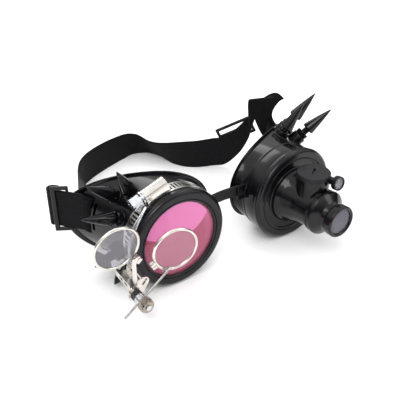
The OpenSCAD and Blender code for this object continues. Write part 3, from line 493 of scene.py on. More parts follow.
def rim_point(t):
    """Oval rim: x is a shift plus the half width times a power of the cosine, z a lift plus the
    height up or down times a power of the sine, and y rises with x and with x squared."""
    x = RIM_SHIFT + RIM_HALF_W * power(np.cos(t), RIM_POWER)
    z = RIM_LIFT + np.where(np.sin(t) > 0, RIM_UP, RIM_DOWN) * power(np.sin(t), RIM_POWER)
    return x, RIM_DEPTH + RIM_SWEEP * x + RIM_CURVE * x * x, z


def shell_ring(t, s, inset=0.0, push=0.0):
    """Ring of the cup's wall: circle + (rim - circle) times s to the power FLARE, moved inward by
    inset and back by push."""
    f = s ** FLARE
    rx, ry, rz = rim_point(t)
    x0, z0 = SHELL_R * np.cos(t), SHELL_R * np.sin(t)
    x, z = x0 + (rx - x0) * f, z0 + (rz - z0) * f
    k = 1 - inset / np.hypot(x, z)
    y = (COLLAR_END - 1) * (1 - s) + ry * s + push
    return np.stack([x * k, y, z * k], 1)


def shell_level(angle, y):
    """Distance of the cup's wall from the axis at places round the cup and their depths."""
    t = np.radians(np.atleast_1d(angle))
    ry = rim_point(t)[1]
    s = np.maximum(0, (y - COLLAR_END + 1) / (ry - COLLAR_END + 1))
    p = shell_ring(t, s)
    return np.hypot(p[:, 0], p[:, 2])


def round_ring(t, r, y):
    """Circle of radius r at a depth y."""
    return np.stack([r * np.cos(t), np.full_like(t, y), r * np.sin(t)], 1)


def cup_shell():
    """Closed shell: bore and collar as circles, then the flare out to a rolled lip and back inside."""
    t = np.linspace(0, 2 * np.pi, 192, endpoint=False)
    collar = softened([
        [COLLAR_BORE, 12.4], [COLLAR_BORE, COLLAR_Y], [COLLAR_R, COLLAR_Y], [COLLAR_R, 13.8],
        [COLLAR_R - 0.5, 14.0], [COLLAR_R - 0.5, 14.6], [COLLAR_R, 14.8], [COLLAR_R, COLLAR_END],
        [SHELL_R, COLLAR_END + 0.05]], 0.3, 3)
    rings = [round_ring(t, r, y) for r, y in collar]
    rings += [shell_ring(t, s) for s in np.linspace(0.17, 0.9, 26)]
    phi = np.linspace(0, np.pi, 9)
    rings += [shell_ring(t, 0.9 + 0.05 * (1 - math.cos(a)), -1.8 * math.sin(a)) for a in phi[1:-1]]
    rings += [shell_ring(t, 1.0, d) for d in (0.0, 0.6, 1.4)]
    rings += [shell_ring(t, s, CUP_WALL) for s in np.linspace(0.985, 0.12, 24)]
    rings += [round_ring(t, r, y) for r, y in ((27.6, 14.5), (27.6, 12.6), (COLLAR_BORE, 12.4))]
    return tube(rings, True)


# Seats: angle round the cup, depth, distance from the axis, two turns of the stud's axis, neck length
LEFT_SEATS = [[56, 23, 37.0, 60, 20, 1], [42, 31.5, 37.75, 37, 13, 1], [26, 21, 37.0, 20, 6, 1]]
RIGHT_SEATS = [[58, 30, 46.0, 57, 19, 6], [71, 25, 37.0, 62, 14, 1], [43.5, 24, 43.4, 46, 21, 6]]
LOW_SEATS = [[-15, 22, 39.5, -16, 6, 1], [-38, 20, 37.5, -38, 10, 1]]


def at_seat(seat, part):
    """Puts a turned part with its axis along z on its seat round the cup."""
    m = turn("y", -seat[3]) @ turn("z", -seat[4]) @ turn("y", 90)
    a = math.radians(seat[0])
    return moved(part, m, (seat[2] * math.cos(a), seat[1], seat[2] * math.sin(a)))


def along_z(profile, sides=64):
    """Profile of (radius, height) turned about the z axis."""
    return moved(turned(profile, sides), turn("x", 90))


def seat_gap(seat):
    """Height of a seat over the cup's wall, less the stud's neck."""
    return seat[2] - float(shell_level(seat[0], seat[1])[0]) - seat[5]


def boss(seat):
    """Moulded boss under a nut, with a soft foot."""
    g = seat_gap(seat)
    low = -g - seat[5] - CUP_WALL - 1.0
    return at_seat(seat, along_z(softened(
        [[0, low], [5.4, low], [5.0, low + 2.5], [5.0, -g], [0, -g]], 0.5)))


def lug_and_ear():
    """Slotted lug at the temple and riveted ear at the nose, both with square walls."""
    h = STRAP_W / 2
    z = [-h - 1.8, -SLOT_HALF, SLOT_HALF, h + 1.8]
    y = [LUG_Y - 14, LUG_Y - 2.2, LUG_Y + 2.2, LUG_Y + 4.8]
    keep = np.ones((3, 3), bool)
    keep[1, 1] = False
    lug = plate(y, z, keep, lambda u, v, w: np.stack([LUG_X - 1.5 + w, u, v], 1), 3.0)
    x = [-COLLAR_R - 4.9, -COLLAR_R + 1.2]
    ear = plate(x, [NOSE_Z - 5.25, NOSE_Z + 5.25], [[True]],
                lambda u, v, w: np.stack([u, NOSE_Y - 1.5 + w, v], 1), 1.5)
    return lug, ear


def vent_shade(z0, height, y0):
    """Black sheet on the cup's wall, painted shade for a vent slot: x is the root of the wall's distance
    from the axis squared less the height squared, at each height and depth."""
    def on_wall(y, z, w):
        level = shell_level(np.degrees(np.arctan2(z, 36.0)), y)
        return np.stack([np.sqrt(np.maximum(level ** 2 - z * z, 0)) - 0.2 + w, y, z], 1)
    return plate(np.linspace(y0, y0 + VENT_W, 3), np.linspace(z0, z0 + height, 8),
                 np.ones((2, 7), bool), on_wall, 0.26)


class GOGGLES_OT_cups(bpy.types.Operator):
    """Cups with collar, swept rim, a lug on the right cup, and stud bosses"""
    bl_idname = "goggles.cups"
    bl_label = "Cups"

    def execute(self, context):
        black, slot = FINISHES["black"], "black_plastic"
        lug, ear = lug_and_ear()
        # Black sheets of painted shade where the vent slots lie
        slots = join(*[vent_shade(z0, h, y0) for y0 in VENT_DEPTHS for z0, h in VENT_ROWS])
        cups = (("left", on_left, LEFT_SEATS + LOW_SEATS), ("right", on_right, RIGHT_SEATS))
        for side, place, seats in cups:
            put(side + "_cup", place(cup_shell()), black, "cups", [side + "_eyecup"], sharp=32)
            if side == "right":
                put("right_cup_lug", place(lug), black, "cups", bevel=0.7)
            put(side + "_cup_ear", place(ear), black, "cups", bevel=0.4)
            put(side + "_bosses", place(join(*[boss(s) for s in seats])), black, "cups")
            put(side + "_vent_shades", place(slots), FINISHES["void"], "cups")
        return {"FINISHED"}


# ---- bezels and lens
def bezel():
    """Turned ring: rolled inner edge, groove, flat face, soft step and straight rim."""
    o = opening_radius()
    face = BEZEL_R - 0.75
    return turned(softened([
        [o, 1.2], [o, 0.75], [o + 0.5, 0.2], [o + 1.3, 0.3], [o + 1.45, 0.75], [o + 1.9, 0.75],
        [o + 2.1, 0.05], [face - 1.5, 0.0], [face - 0.5, 0.35], [face - 0.1, 1.2], [BEZEL_R, 1.7],
        [BEZEL_R, 4.0], [28.9, 4.0], [28.9, 10.0], [25.35, 10.0], [25.35, 1.2]], 0.28, 3, True), 192, True)


class GOGGLES_OT_bezels(bpy.types.Operator):
    """Two screw-on bezels and the pink lens"""
    bl_idname = "goggles.bezels"
    bl_label = "Bezels and lens"

    def execute(self, context):
        for side, place in (("left", on_left), ("right", on_right)):
            put(side + "_bezel_ring", place(bezel()), FINISHES["bezel"], side + "_bezel_ring",
                [side + "_bezel"])
        r = opening_radius() + 0.95
        disc = turned(softened([[0, 1.25], [r, 1.25], [r, 3.25], [0, 3.25]], 0.2, 2), 128)
        put("pink_disc", on_left(disc), FINISHES["pink"], "left_lens_stack", ["pink_lens"])
        return {"FINISHED"}


# ---- magnifier
def dome():
    """Turned body: foot in the bezel, round shoulder, falling curve to the waist, hollow bore."""
    line = through([[20.75, 1.2], [19.4, 1.0], [18.8, -1.2], [17.1, -4.0], [15.4, -8.5], [13.9, -14.0],
                    [13.2, -23.0]], 6)
    outer = np.concatenate([[[25.2, 3.2], [25.2, 1.25], [22.6, 1.25]], line])
    inner = [[12.2, -23.0], [11.6, -22.4], [11.6, -10.0], [15.6, -1.1], [15.6, 3.2]]
    return turned(np.concatenate([outer, inner]), 160, True)


def battery_cup():
    """Upright turned cup with a soft edge under the cap."""
    wall = softened([[0, 1.0], [10.4, 1.0], [10.4, 20.7], [0, 20.7]], 0.3)
    return moved(along_z(wall, 96), None, (0, BATTERY_Y, 0))


def lamp_cheeks():
    """Two flat cheeks, one on each side of the lamp's tongue."""
    cheek = plate([-25.0, -20.0], [-1.5, 1.5], [[True]], lambda u, v, w: np.stack([w, u, v], 1), 1.2)
    return join(*[moved(cheek, None, (x, 0, LAMP_HINGE[2])) for x in (4.6, 8.2)])


def bell():
    """Turned bell: short sleeve, flare, rolled rim and neck."""
    return turned(softened([
        [10.35, -19.0], [11.55, -19.0], [11.55, -23.05], [13.4, -23.05], [14.4, -23.7], [14.4, -24.5],
        [13.4, -25.1], [13.4, -25.7], [14.7, -26.5], [14.7, -28.4], [14.1, -29.2], [12.1, -30.8],
        [9.5, -32.6], [8.5, -35.5], [8.5, -39.8], [7.3, -39.8], [7.3, -32.0], [10.35, -27.0]],
        0.45, 4, True), 160, True)


def eyepiece():
    """Turned ring with a rolled front edge and an inner step that holds the glass."""
    return turned(softened([
        [8.55, -35.8], [9.9, -35.8], [10.2, -36.4], [10.5, -37.2], [10.5, -41.2], [9.9, -42.0],
        [8.8, -42.0], [8.3, -41.4], [8.1, -41.15], [8.55, -41.1]], 0.25, 3, True), 128, True)


def bowed_glass(r, y, bow, thick):
    """Lens with two faces bowed by 1 less the square of the share of the radius."""
    u = np.linspace(0, 1, 12)
    front = np.stack([r * u, y - bow * (1 - u * u)], 1)
    back = np.stack([r * u, y + thick + bow * (1 - u * u)], 1)[::-1]
    return turned(np.concatenate([front, back]), 96)


def lamp_barrel():
    """Turned barrel with two grooves and an open front, and the flat tongue at its back."""
    barrel = turned(softened([
        [0, -2.2], [2.6, -2.2], [4.6, -4.2], [4.6, -4.9], [4.2, -5.0], [4.2, -5.4], [4.6, -5.5], [4.6, -6.1],
        [4.2, -6.2], [4.2, -6.6], [4.6, -6.7], [4.6, -7.2], [3.6, -7.2], [3.6, -4.2], [0, -4.2]],
        0.15, 2), 96)
    tongue = plate([-2.4, 1.2], [-1.3, 1.3], [[True]], lambda u, v, w: np.stack([w - 1.0, u, v], 1), 2.0)
    return join(barrel, tongue)


def at_lamp(part):
    """From the hinge's frame, tilted down, to the right cup's frame."""
    return moved(part, turn("x", -LAMP_TILT), LAMP_HINGE)


class GOGGLES_OT_magnifier(bpy.types.Operator):
    """Magnifier with battery cup, bell, eyepiece and lamp"""
    bl_idname = "goggles.magnifier"
    bl_label = "Magnifier"

    def execute(self, context):
        black, slot, stack = FINISHES["black"], "black_plastic", "right_lens_stack"
        put("magnifier_dome", on_right(dome()), black, stack, ["magnifier_body"])
        put("battery_cup", on_right(battery_cup()), black, stack)
        put("lamp_cheeks", on_right(lamp_cheeks()), black, stack, bevel=0.3)
        put("bell", on_right(bell()), black, stack, ["magnifier_bell"])
        put("eyepiece_front", on_right(eyepiece()), black, "eyepiece", ["eyepiece_ring"])
        front_lens = bowed_glass(8.4, -40.7, 0.35, 0.8)
        put("eyepiece_glass", on_right(front_lens), FINISHES["front_glass"], "eyepiece",
            ["eyepiece_lens"])
        put("lamp_body", on_right(at_lamp(lamp_barrel())), black, "lamp", ["lamp_barrel"])
        lamp_lens = bowed_glass(3.5, -6.6, 0.3, 0.5)
        put("lamp_glass", on_right(at_lamp(lamp_lens)), FINISHES["grey_shaded_glass"], "lamp",
            ["lamp_lens"])
        return {"FINISHED"}


# ---- hose clamp
def round_cup(angle, y, r):
    """Point at an angle in degrees, a depth and a distance from the axis."""
    a = np.radians(angle)
    return np.stack([r * np.cos(a), y, r * np.sin(a)], 1)


def slotted(start, end, r, thick, width, slots=None):
    """Strip bent round the cup, with a slot in each pitch that starts within the angles of slots."""
    pitch = math.degrees(BAND_PITCH / BEZEL_R)
    slot = math.degrees(BAND_SLOT / BEZEL_R)
    edges, holes = [start], []
    a = start
    while a + pitch <= end:
        edges += [a + (pitch - slot) / 2, a + (pitch + slot) / 2, a + pitch]
        holes += [False, slots is not None and slots[0] <= a <= slots[1], False]
        a += pitch
    if edges[-1] < end:
        edges.append(end)
        holes.append(False)
    v = [-width / 2, -BAND_SLOT_HALF, BAND_SLOT_HALF, width / 2]
    keep = np.ones((len(edges) - 1, 3), bool)
    keep[:, 1] = ~np.array(holes)
    return plate(edges, v, keep, lambda u, v, w: round_cup(u, v + BAND_Y, r + w), thick)


def housing():
    """Arched screw housing: a D-shaped section carried along the screw, with rolled side rails."""
    a = np.radians(np.linspace(160, 20, 15))
    arch = np.stack([4.0 * np.cos(a), 4.0 * np.sin(a)], 1)
    rail = np.array([[4.2, 1.6], [4.7, 1.2], [4.7, -3.3]])
    outline = np.concatenate([rail[::-1] * [-1, 1], arch, rail])
    rings = np.array([np.column_stack([np.full(len(outline), x), outline]) for x in (-7.75, 7.75)])
    a = math.radians(HOUSING_ANGLE)
    return moved(tube(rings), turn("y", 90 - HOUSING_ANGLE),
                 (HOUSING_R * math.cos(a), BAND_Y, HOUSING_R * math.sin(a)))


class GOGGLES_OT_clamp(bpy.types.Operator):
    """Hose clamp with slotted band, tail and housing"""
    bl_idname = "goggles.clamp"
    bl_label = "Hose clamp"

    def execute(self, context):
        ring = slotted(HOUSING_ANGLE - 14, HOUSING_ANGLE + 345.8, COLLAR_R + 0.05, 0.7, 8.0,
                       (HOUSING_ANGLE + 13, HOUSING_ANGLE + 333))
        tail = slotted(HOUSING_ANGLE - 13, HOUSING_ANGLE + 15, COLLAR_R + 0.78, 0.65, 6.8)
        put("clamp_strip", on_left(join(ring, tail)), FINISHES["band"], "cups",
            ["clamp_band"])
        put("clamp_box", on_left(housing()), FINISHES["nickel"], "cups",
            ["clamp_housing"], bevel=0.5)
        return {"FINISHED"}


# ---- loupes
# Middle of a loupe in the left cup's frame, then its turns about z and x in degrees
OUTER = (np.array([45.55, -7.0, 16.22]), 1.4, 7.0)
INNER = (np.array([13.9, -15.0, 7.6]), 7.0, 4.0)
RIM_R, RIM_WIRE_R = 13.1, 0.9
GLASS_R, GLASS_FLAT_R = 12.35, 10.6


def at_loupe(spec, part):
    """From a loupe's own frame to the cup's frame."""
    return moved(part, turn("z", spec[1]) @ turn("x", spec[2]), spec[0])


def wire_rim():
    """Ring of round wire: a circle carried round the axis."""
    return turned(circle(RIM_WIRE_R, 24) + [RIM_R, 0], 160, True)


def loupe_glass():
    """Lens with two bowed faces; the front one falls to its rim in a broad bevel."""
    u = np.linspace(0, 1, 14)
    bow = 1 - u * u
    front = np.concatenate([np.stack([GLASS_FLAT_R * u, -0.75 - 0.2 * bow], 1), [[GLASS_R, -0.35]]])
    back = np.stack([GLASS_R * u, 0.35 + 0.35 * bow], 1)[::-1]
    return turned(np.concatenate([front, back]), 128)


def closing_block(angle):
    """Two ears side by side outside the rim, at an angle round it."""
    part = plate([13.4, 16.4], [-1.8, -0.25, 0.25, 1.8], [[True, False, True]],
                 lambda u, v, w: np.stack([u, w - 1.6, v], 1), 3.2)
    return moved(part, turn("y", -angle))


class GOGGLES_OT_loupes(bpy.types.Operator):
    """Wire rims and glasses of the two swing loupes"""
    bl_idname = "goggles.loupes"
    bl_label = "Loupes"

    def execute(self, context):
        nickel, slot = FINISHES["nickel"], "nickel_steel"
        for name, spec, angle, glass in (("outer", OUTER, 222, "grey_shaded_glass"), ("inner", INNER, 333, "glass")):
            body = name + "_loupe"
            rim, block, lens = (on_left(at_loupe(spec, part)) for part in (
                wire_rim(), closing_block(angle), loupe_glass()))
            put(name + "_rim_wire", rim, nickel, body, [body + "_rim"])
            put(name + "_rim_block", block, nickel, body, bevel=0.3)
            put(name + "_glass", lens, FINISHES[glass], body, [body + "_lens"], sharp=14)
        return {"FINISHED"}


# ---- studs
def cone(seat, length):
    """Turned stud: neck, rolled foot and a full cone whose radius falls as 1 less the share of the
    length, to the power 0.8."""
    g = seat_gap(seat)
    h = np.linspace(0.9, length - 1.0, 8)
    side = np.stack([4.55 * (1 - h / length) ** 0.8, h], 1)
    foot = [[0, 3.25 - g], [2.3, 3.25 - g], [2.3, 0], [4.1, 0]]
    return at_seat(seat, along_z(softened(np.concatenate([foot, side, [[0, length]]]), 0.3), 96))


def six_nut(seat):
    """Six-sided nut with turned corners: its outline lies half the width over the cosine of the angle
    to a flat's middle from the axis, and no farther than the turned radius at that height."""
    h, w, n = 3.2, 8.0, 96
    a = np.linspace(0, 2 * np.pi, n, endpoint=False)
    hexagon = w / 2 / np.cos((a + np.pi / 6) % (np.pi / 3) - np.pi / 6)
    turned_off = (w / 2 + 0.1) * 0.98
    rings = [np.column_stack([circle(1, n) * np.minimum(hexagon, r)[:, None], np.full(n, z)])
             for z, r in ((0, turned_off), (0.5, w), (h - 0.5, w), (h, turned_off))]
    return at_seat(seat, moved(tube(rings), None, (0, 0, -seat_gap(seat))))


class GOGGLES_OT_studs(bpy.types.Operator):
    """Cone studs and their nuts"""
    bl_idname = "goggles.studs"
    bl_label = "Cone studs"

    def execute(self, context):
        length = sizes().cone_length / MM
        groups = (
            ("left_long_cones", "left_cones", on_left, [cone(s, length) for s in LEFT_SEATS], 38),
            ("right_long_cones", "right_cones", on_right, [cone(s, length) for s in RIGHT_SEATS], 38),
            ("low_short_cones", "low_cones", on_left, [cone(s, 9.0) for s in LOW_SEATS], 38),
            ("left_nuts", "left_stud_nuts", on_left, [six_nut(s) for s in LEFT_SEATS + LOW_SEATS], 20),
            ("right_nuts", "right_stud_nuts", on_right, [six_nut(s) for s in RIGHT_SEATS], 20))
        for name, node, place, parts, sharp in groups:
            put(name, place(join(*parts)), FINISHES["black"], "cups", [node], sharp=sharp)
        return {"FINISHED"}


# ---- straps
def web_section(width, thick, pitch):
    """Flat section with rounded edges; its faces rise and fall by a cosine over each cord."""
    edge, relief = 0.5, 0.09
    v = np.linspace(-width / 2 + edge, width / 2 - edge, int(width / pitch) * 6)
    h = thick / 2 - relief + relief * np.cos(2 * np.pi * v / pitch)
    a = np.radians(np.linspace(60, -60, 5))
    cap = np.stack([thick / 2 * np.sin(a), width / 2 - edge + edge * np.cos(a)], 1)
    return np.concatenate([np.stack([h, v], 1)[::-1], -cap, np.stack([-h, v], 1), cap])


# Distance of the webbing's middle from the middle of the left bar, and of the right lug's bar
LAYER = math.hypot(2.4, 2.2) / 2 + 0.1 + STRAP_T / 2
BAR_LAYER = math.hypot(3.0, 2.6) / 2 + 0.1 + STRAP_T / 2
RIGHT_END = SPACING / 2 + LUG_X + BAR_LAYER
# Each row: place along x and y, height over the table, lean in degrees
STRAP_RUN = [
    [-77.6, 54, 21.4, 0], [-73, 64, 20.4, 0], [-69.5, 73.5, 18.6, 0], [-64.8, 89, 13, 0], [-60, 104, 6.5, 1],
    [-54.5, 118, 1.5, 3], [-49.5, 129.5, 0, 4], [-43, 139.5, 0, 4], [-35, 147, 0, 4], [-24, 153.5, 0, 4],
    [-8, 160, 0, 6], [8, 164.5, 0, 12], [18, 165.5, 0, 24], [26, 161, 0, 34], [29.5, 152, 0, 38],
    [31, 142, 0, 34], [34, 133, 0, 24], [41, 124, 0, 12], [50, 117.5, 0, 6], [61, 112.5, 0.5, 2]]
# Each row: place of the middle, then the way of the width
STRAP_RISE = [
    [70, 106.5, 14.5, 0, 0, 1], [76, 100.5, 22, 0, 0, 1], [81, 95.5, 31, 0, -0.05, 1],
    [83.4, 89.5, 43, 0.1, -0.15, 0.98], [83.8, 85.5, 53, 0.3, -0.35, 0.88], [84, 81, 61, 0.6, -0.5, 0.6],
    [84.8, 78, 65, 0.8, -0.58, 0.12], [86.6, 77.5, 62.5, 0.76, -0.6, 0.2], [88, 78.4, 54, 0.5, -0.5, 0.7],
    [89.8, 78.6, 44, 0.2, -0.2, 0.95], [RIGHT_END - 0.4, 77, 36, 0, 0, 1],
    [RIGHT_END, LUG_Y + 9, AXIS_Z, 0, 0, 1]]
# Left end in plan: middle of its bar, the way along the layer, the way across it, height over the table
BAR = np.array([49.9, 64.2])
OUTWARD = np.array([0.63, 0.78])
CAMWARD = np.array([0.78, -0.63])
END_LIFT = 29.0
RIGHT_SLIDER = (77.2, 102.8, 31.5)


def left_end():
    """Left end in plan, in the cup's own frame: a tail, a half circle round the keeper's bar, the
    straight layer along the flare, and the bend through the wall's slot to the inside."""
    a = np.radians(np.linspace(180, 0, 8))[:, None]
    fold = BAR + LAYER * (np.cos(a) * CAMWARD + np.sin(a) * OUTWARD)
    layer = fold[-1] - np.outer([7.0, 13.5, 19.5], OUTWARD)
    bend = [[38.7, 46.1], [37.0, 45.0], [34.8, 44.8], [32.8, 46.2], [31.9, 49.2]]
    line = np.concatenate([[fold[0] - 3 * OUTWARD], fold, layer, bend])
    lift = np.concatenate([np.full(len(line) - len(bend), END_LIFT), [28.4, 27.0, 25.4, 23.8, 22.4]])
    return np.column_stack([-SPACING / 2 - line[:, 0], line[:, 1], lift, np.zeros(len(line))])


def strap_path():
    """Smooth middle line of the webbing and the way of its width at each point."""
    run = np.concatenate([left_end(), np.array(STRAP_RUN, float)])
    h = headings(run[:, :2])
    lean = np.radians(run[:, 3])
    z = run[:, 2] + STRAP_W / 2 * np.cos(lean)
    up = np.stack([h[:, 1] * np.sin(lean), -h[:, 0] * np.sin(lean), np.cos(lean)], 1)
    rows = through(np.concatenate([np.column_stack([run[:, :2], z, up]), STRAP_RISE]), 6)
    return rows[:, :3], unit(rows[:, 3:])


def stadium(bar, end, r0, r1):
    """Closed line in plan: an arc of r0 round bar, an arc of r1 round end, and their two tangents."""
    d = np.array(end, float) - np.array(bar, float)
    length = np.linalg.norm(d)
    base = math.atan2(d[1], d[0])
    tilt = math.acos(max(-1, min(1, (r0 - r1) / length)))
    a0 = np.linspace(base + tilt, base + 2 * np.pi - tilt, 24)
    a1 = np.linspace(base - tilt, base + tilt, 24)
    first = np.stack([bar[0] + r0 * np.cos(a0), bar[1] + r0 * np.sin(a0)], 1)
    second = np.stack([end[0] + r1 * np.cos(a1), end[1] + r1 * np.sin(a1)], 1)
    legs = np.linspace(0, 1, 12)[1:-1, None]
    return np.concatenate([first, first[-1] + (second[0] - first[-1]) * legs, second,
                           second[-1] + (first[0] - second[-1]) * legs])


def web(path, up, closed=False):
    """Webbing section carried along a path, and its weave coordinates in millimetres."""
    section = web_section(STRAP_W, STRAP_T, sizes().rib_pitch / MM)
    side = unit(np.cross(headings(path, closed), up))
    rings = path[:, None] + side[:, None] * section[:, :1] + up[:, None] * section[:, 1:]
    step = np.linalg.norm(np.diff(path, axis=0), axis=1)
    along = np.concatenate([[0], np.cumsum(step)])
    weave = np.stack([np.repeat(along, len(section)), np.tile(section[:, 1], len(path)),
                      np.tile(section[:, 0], len(path))], 1)
    return (*tube(rings, closed), weave)


def lug_loop():
    """Webbing on a closed line round the lug's bar and the strap's end, in the right cup's frame."""
    line = stadium((LUG_X, LUG_Y + 3.5), (LUG_X, LUG_Y + 9), BAR_LAYER, BAR_LAYER)
    path = np.column_stack([line, np.zeros(len(line))])
    return web(path, np.tile([0.0, 0.0, 1.0], (len(path), 1)), True)


def keeper():
    """One-slot frame through which the layer weaves: its near bar lies over the webbing, and the
    frame leans across the layer."""
    along = -(8.6 * OUTWARD + 3.2 * CAMWARD) / math.hypot(8.6, 3.2)
    start = BAR + 4.7 * CAMWARD - 1.4 * OUTWARD
    across = np.array([along[1], -along[0]])
    v = END_LIFT + STRAP_W / 2 - AXIS_Z + np.array([-15.6, -SLOT_HALF, SLOT_HALF, 15.6])
    keep = np.ones((3, 3), bool)
    keep[1, 1] = False
    return plate([0, 3.0, 9.0, 10.6], v, keep, lambda u, v, w: np.column_stack(
        [start + np.outer(u, along) + np.outer(w - 0.9, across), v]), 1.8)


def slider_plate():
    """Three-bar slider: a plate with two slots."""
    y = [-6.9, -4.7, -1.1, 1.1, 4.7, 6.9]
    z = [-15, -SLOT_HALF, SLOT_HALF, 15]
    keep = np.ones((5, 3), bool)
    keep[1, 1] = keep[3, 1] = False
    return plate(y, z, keep, lambda u, v, w: np.stack([w - 1.2, u, v], 1), 2.4)


def nose_band():
    """Rounded strip from collar to collar whose middle bows back by 1 less the share of the half
    length squared."""
    u = np.linspace(-1, 1, 41)
    line = np.stack([u * (SPACING / 2 - COLLAR_R - 0.5), NOSE_Y + 0.85 + 1.5 * (1 - u * u),
                     np.full(len(u), AXIS_Z + NOSE_Z)], 1)
    section = softened([[-0.75, -3.75], [0.75, -3.75], [0.75, 3.75], [-0.75, 3.75]], 0.5, 3, True)
    return carried(line, section, (0, 0, 1))


class GOGGLES_OT_straps(bpy.types.Operator):
    """Head strap with its loops and sliders, and the nose strap"""
    bl_idname = "goggles.straps"
    bl_label = "Straps"

    def execute(self, context):
        points, faces, weave = web(*strap_path())
        loop_points, loop_faces, loop_weave = lug_loop()
        webbing = join((points, faces), on_right((loop_points, loop_faces)))
        put("head_webbing", webbing, FINISHES["webbing"], "cups", ["head_strap"],
            sharp=60, weave=np.concatenate([weave, loop_weave]))
        put("left_strap_slider", on_left(keeper()), FINISHES["black"], "cups",
            ["left_slider"], bevel=0.8)
        behind = moved(slider_plate(), turn("z", 45) @ turn("x", 62), RIGHT_SLIDER)
        put("right_strap_slider", behind, FINISHES["cap"], "cups", ["right_slider"], bevel=0.5)
        put("nose_band", nose_band(), FINISHES["leather"], "cups", ["nose_strap"])
        return {"FINISHED"}


# ---- small wires
class GOGGLES_OT_clips(bpy.types.Operator):
    """Spring wires from the clamp to the bracket"""
    bl_idname = "goggles.clips"
    bl_label = "Spring wires"

    def execute(self, context):
        top = np.array([20.2, 4.4, 27.6])
        end_x = 33.1
        back = [top, [25.2, 3.6, 22.6], [29.6, 3.4, 17.3], [33, 3.2, 9], [34.2, 3.4, -2], [end_x, 4.6, -7.7]]
        front = [top + [0.3, -1.1, 0.3], [24.6, 2.2, 23.6], [28.9, 1.2, 18], [33.4, 1, 9], [35, 1.2, -2],
                 [end_x, 2.8, -7.9]]
        wires = [carried(through(line, 6), circle(0.5, 16), (0, 1, 0)) for line in (back, front)]
        put("spring_wires", on_left(join(*wires)), FINISHES["zinc"], "cups", ["clip_wires"])
        return {"FINISHED"}


# ---- stage
def softbox(name, where, size, watts):
    """White area light that looks at the goggles' middle."""
    data = bpy.data.lights.new(name, "AREA")
    data.shape, data.size, data.size_y = "RECTANGLE", size[0], size[1]
    data.energy = watts
    obj = bpy.data.objects.new(name, data)
    obj.location = where
    obj.rotation_euler = (Vector((0, 0, 0.03)) - Vector(where)).to_track_quat("-Z", "Y").to_euler()
    bpy.context.scene.collection.objects.link(obj)


def floor():
    """Square sheet just under the lowest point."""
    s, z = sizes().floor_size / 2, -0.0002
    mesh = bpy.data.meshes.new("floor")
    mesh.from_pydata([(-s, -s, z), (s, -s, z), (s, s, z), (-s, s, z)], [], [(0, 1, 2, 3)])
    # Smooth white paper: no reflection
    mesh.materials.append(grained("White paper", colours().floor, "#FDFDFD", 3.0, (0.85, 0.95)))
    obj = bpy.data.objects.new("floor", mesh)
    bpy.context.scene.collection.objects.link(obj)


def camera():
    """Camera at the photograph's angle: azimuth, elevation and distance from the point it looks at."""
    a, e, distance = math.radians(-35.61), math.radians(30.84), 0.35296
    back = Vector((math.sin(a) * math.cos(e), -math.cos(a) * math.cos(e), math.sin(e)))
    data = bpy.data.cameras.new("camera")
    data.sensor_width, data.lens, data.clip_start = 36.0, 54.97, 0.01
    obj = bpy.data.objects.new("camera", data)
    obj.location = Vector((-0.03145, 0.0, 0.0541)) + back * distance
    obj.rotation_euler = back.to_track_quat("Z", "Y").to_euler()
    bpy.context.scene.collection.objects.link(obj)
    bpy.context.scene.camera = obj


def studio():
    """White surroundings, dim near the floor and bright overhead, which the camera sees as white."""
    world = bpy.data.worlds.new("studio")
    world.use_nodes = True
    tree = world.node_tree
    at = add(tree, "ShaderNodeTexCoord")
    split = add(tree, "ShaderNodeSeparateXYZ", {"Vector": at.outputs["Generated"]})
    sky = add(tree, "ShaderNodeMapRange", {
        "Value": split.outputs["Z"], "From Min": 0.12, "From Max": 0.6, "To Min": 0.08, "To Max": 1.35},
        interpolation_type="SMOOTHSTEP")
    seen = add(tree, "ShaderNodeLightPath")
    strength = add(tree, "ShaderNodeMath", {0: sky.outputs[0], 1: seen.outputs["Is Camera Ray"]},
                   operation="MAXIMUM")
    tree.links.new(strength.outputs[0], tree.nodes["Background"].inputs[1])
    tree.nodes["Background"].inputs[0].default_value = (1, 1, 1, 1)
    bpy.context.scene.world = world


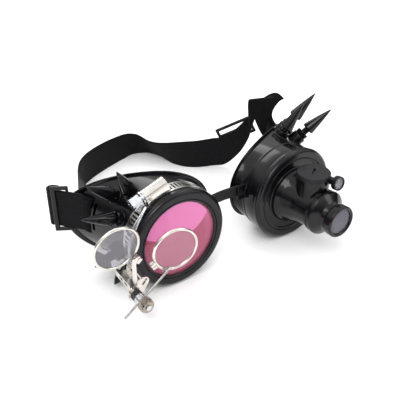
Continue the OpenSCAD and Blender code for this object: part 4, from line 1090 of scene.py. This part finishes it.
class GOGGLES_OT_stage(bpy.types.Operator):
    """Pale floor, soft lights and the camera at the photograph's angle"""
    bl_idname = "goggles.stage"
    bl_label = "Stage"

    def execute(self, context):
        floor()
        camera()
        studio()
        context.scene.view_settings.view_transform = "Standard"
        softbox("key", (-0.5, -0.35, 0.9), (0.5, 0.5), 4.5)
        softbox("fill", (0.55, -0.7, 0.55), (0.35, 0.6), 2)
        softbox("back", (0.1, 0.9, 0.8), (0.7, 0.4), 3)
        return {"FINISHED"}


class GOGGLES_PT_panel(bpy.types.Panel):
    """Lists the pieces in the sidebar"""
    bl_idname = "GOGGLES_PT_panel"
    bl_label = "Goggles"
    bl_space_type = "VIEW_3D"
    bl_region_type = "UI"
    bl_category = "Goggles"

    def draw(self, context):
        column = self.layout.column()
        for group in (context.scene.goggles_sizes, context.scene.goggles_colours):
            for key in group.__annotations__:
                column.prop(group, key)
        for operator in OPERATORS:
            column.operator(operator.bl_idname)


OPERATORS = (
    GOGGLES_OT_cups, GOGGLES_OT_bezels, GOGGLES_OT_magnifier, GOGGLES_OT_clamp, GOGGLES_OT_loupes,
    GOGGLES_OT_studs, GOGGLES_OT_straps, GOGGLES_OT_clips, GOGGLES_OT_stage)
CLASSES = (GogglesSizes, GogglesColours, *OPERATORS, GOGGLES_PT_panel)


def register():
    for c in CLASSES:
        bpy.utils.register_class(c)
    bpy.types.Scene.goggles_sizes = bpy.props.PointerProperty(type=GogglesSizes)
    bpy.types.Scene.goggles_colours = bpy.props.PointerProperty(type=GogglesColours)


def unregister():
    del bpy.types.Scene.goggles_sizes
    del bpy.types.Scene.goggles_colours
    for c in reversed(CLASSES):
        bpy.utils.unregister_class(c)


def main():
    register()
    make_finishes()
    dress_nodes()
    bpy.ops.goggles.cups()
    bpy.ops.goggles.bezels()
    bpy.ops.goggles.magnifier()
    bpy.ops.goggles.clamp()
    bpy.ops.goggles.loupes()
    bpy.ops.goggles.studs()
    bpy.ops.goggles.straps()
    bpy.ops.goggles.clips()
    bpy.ops.goggles.stage()
    bpy.context.view_layer.update()


if __name__ == "__main__":
    main()
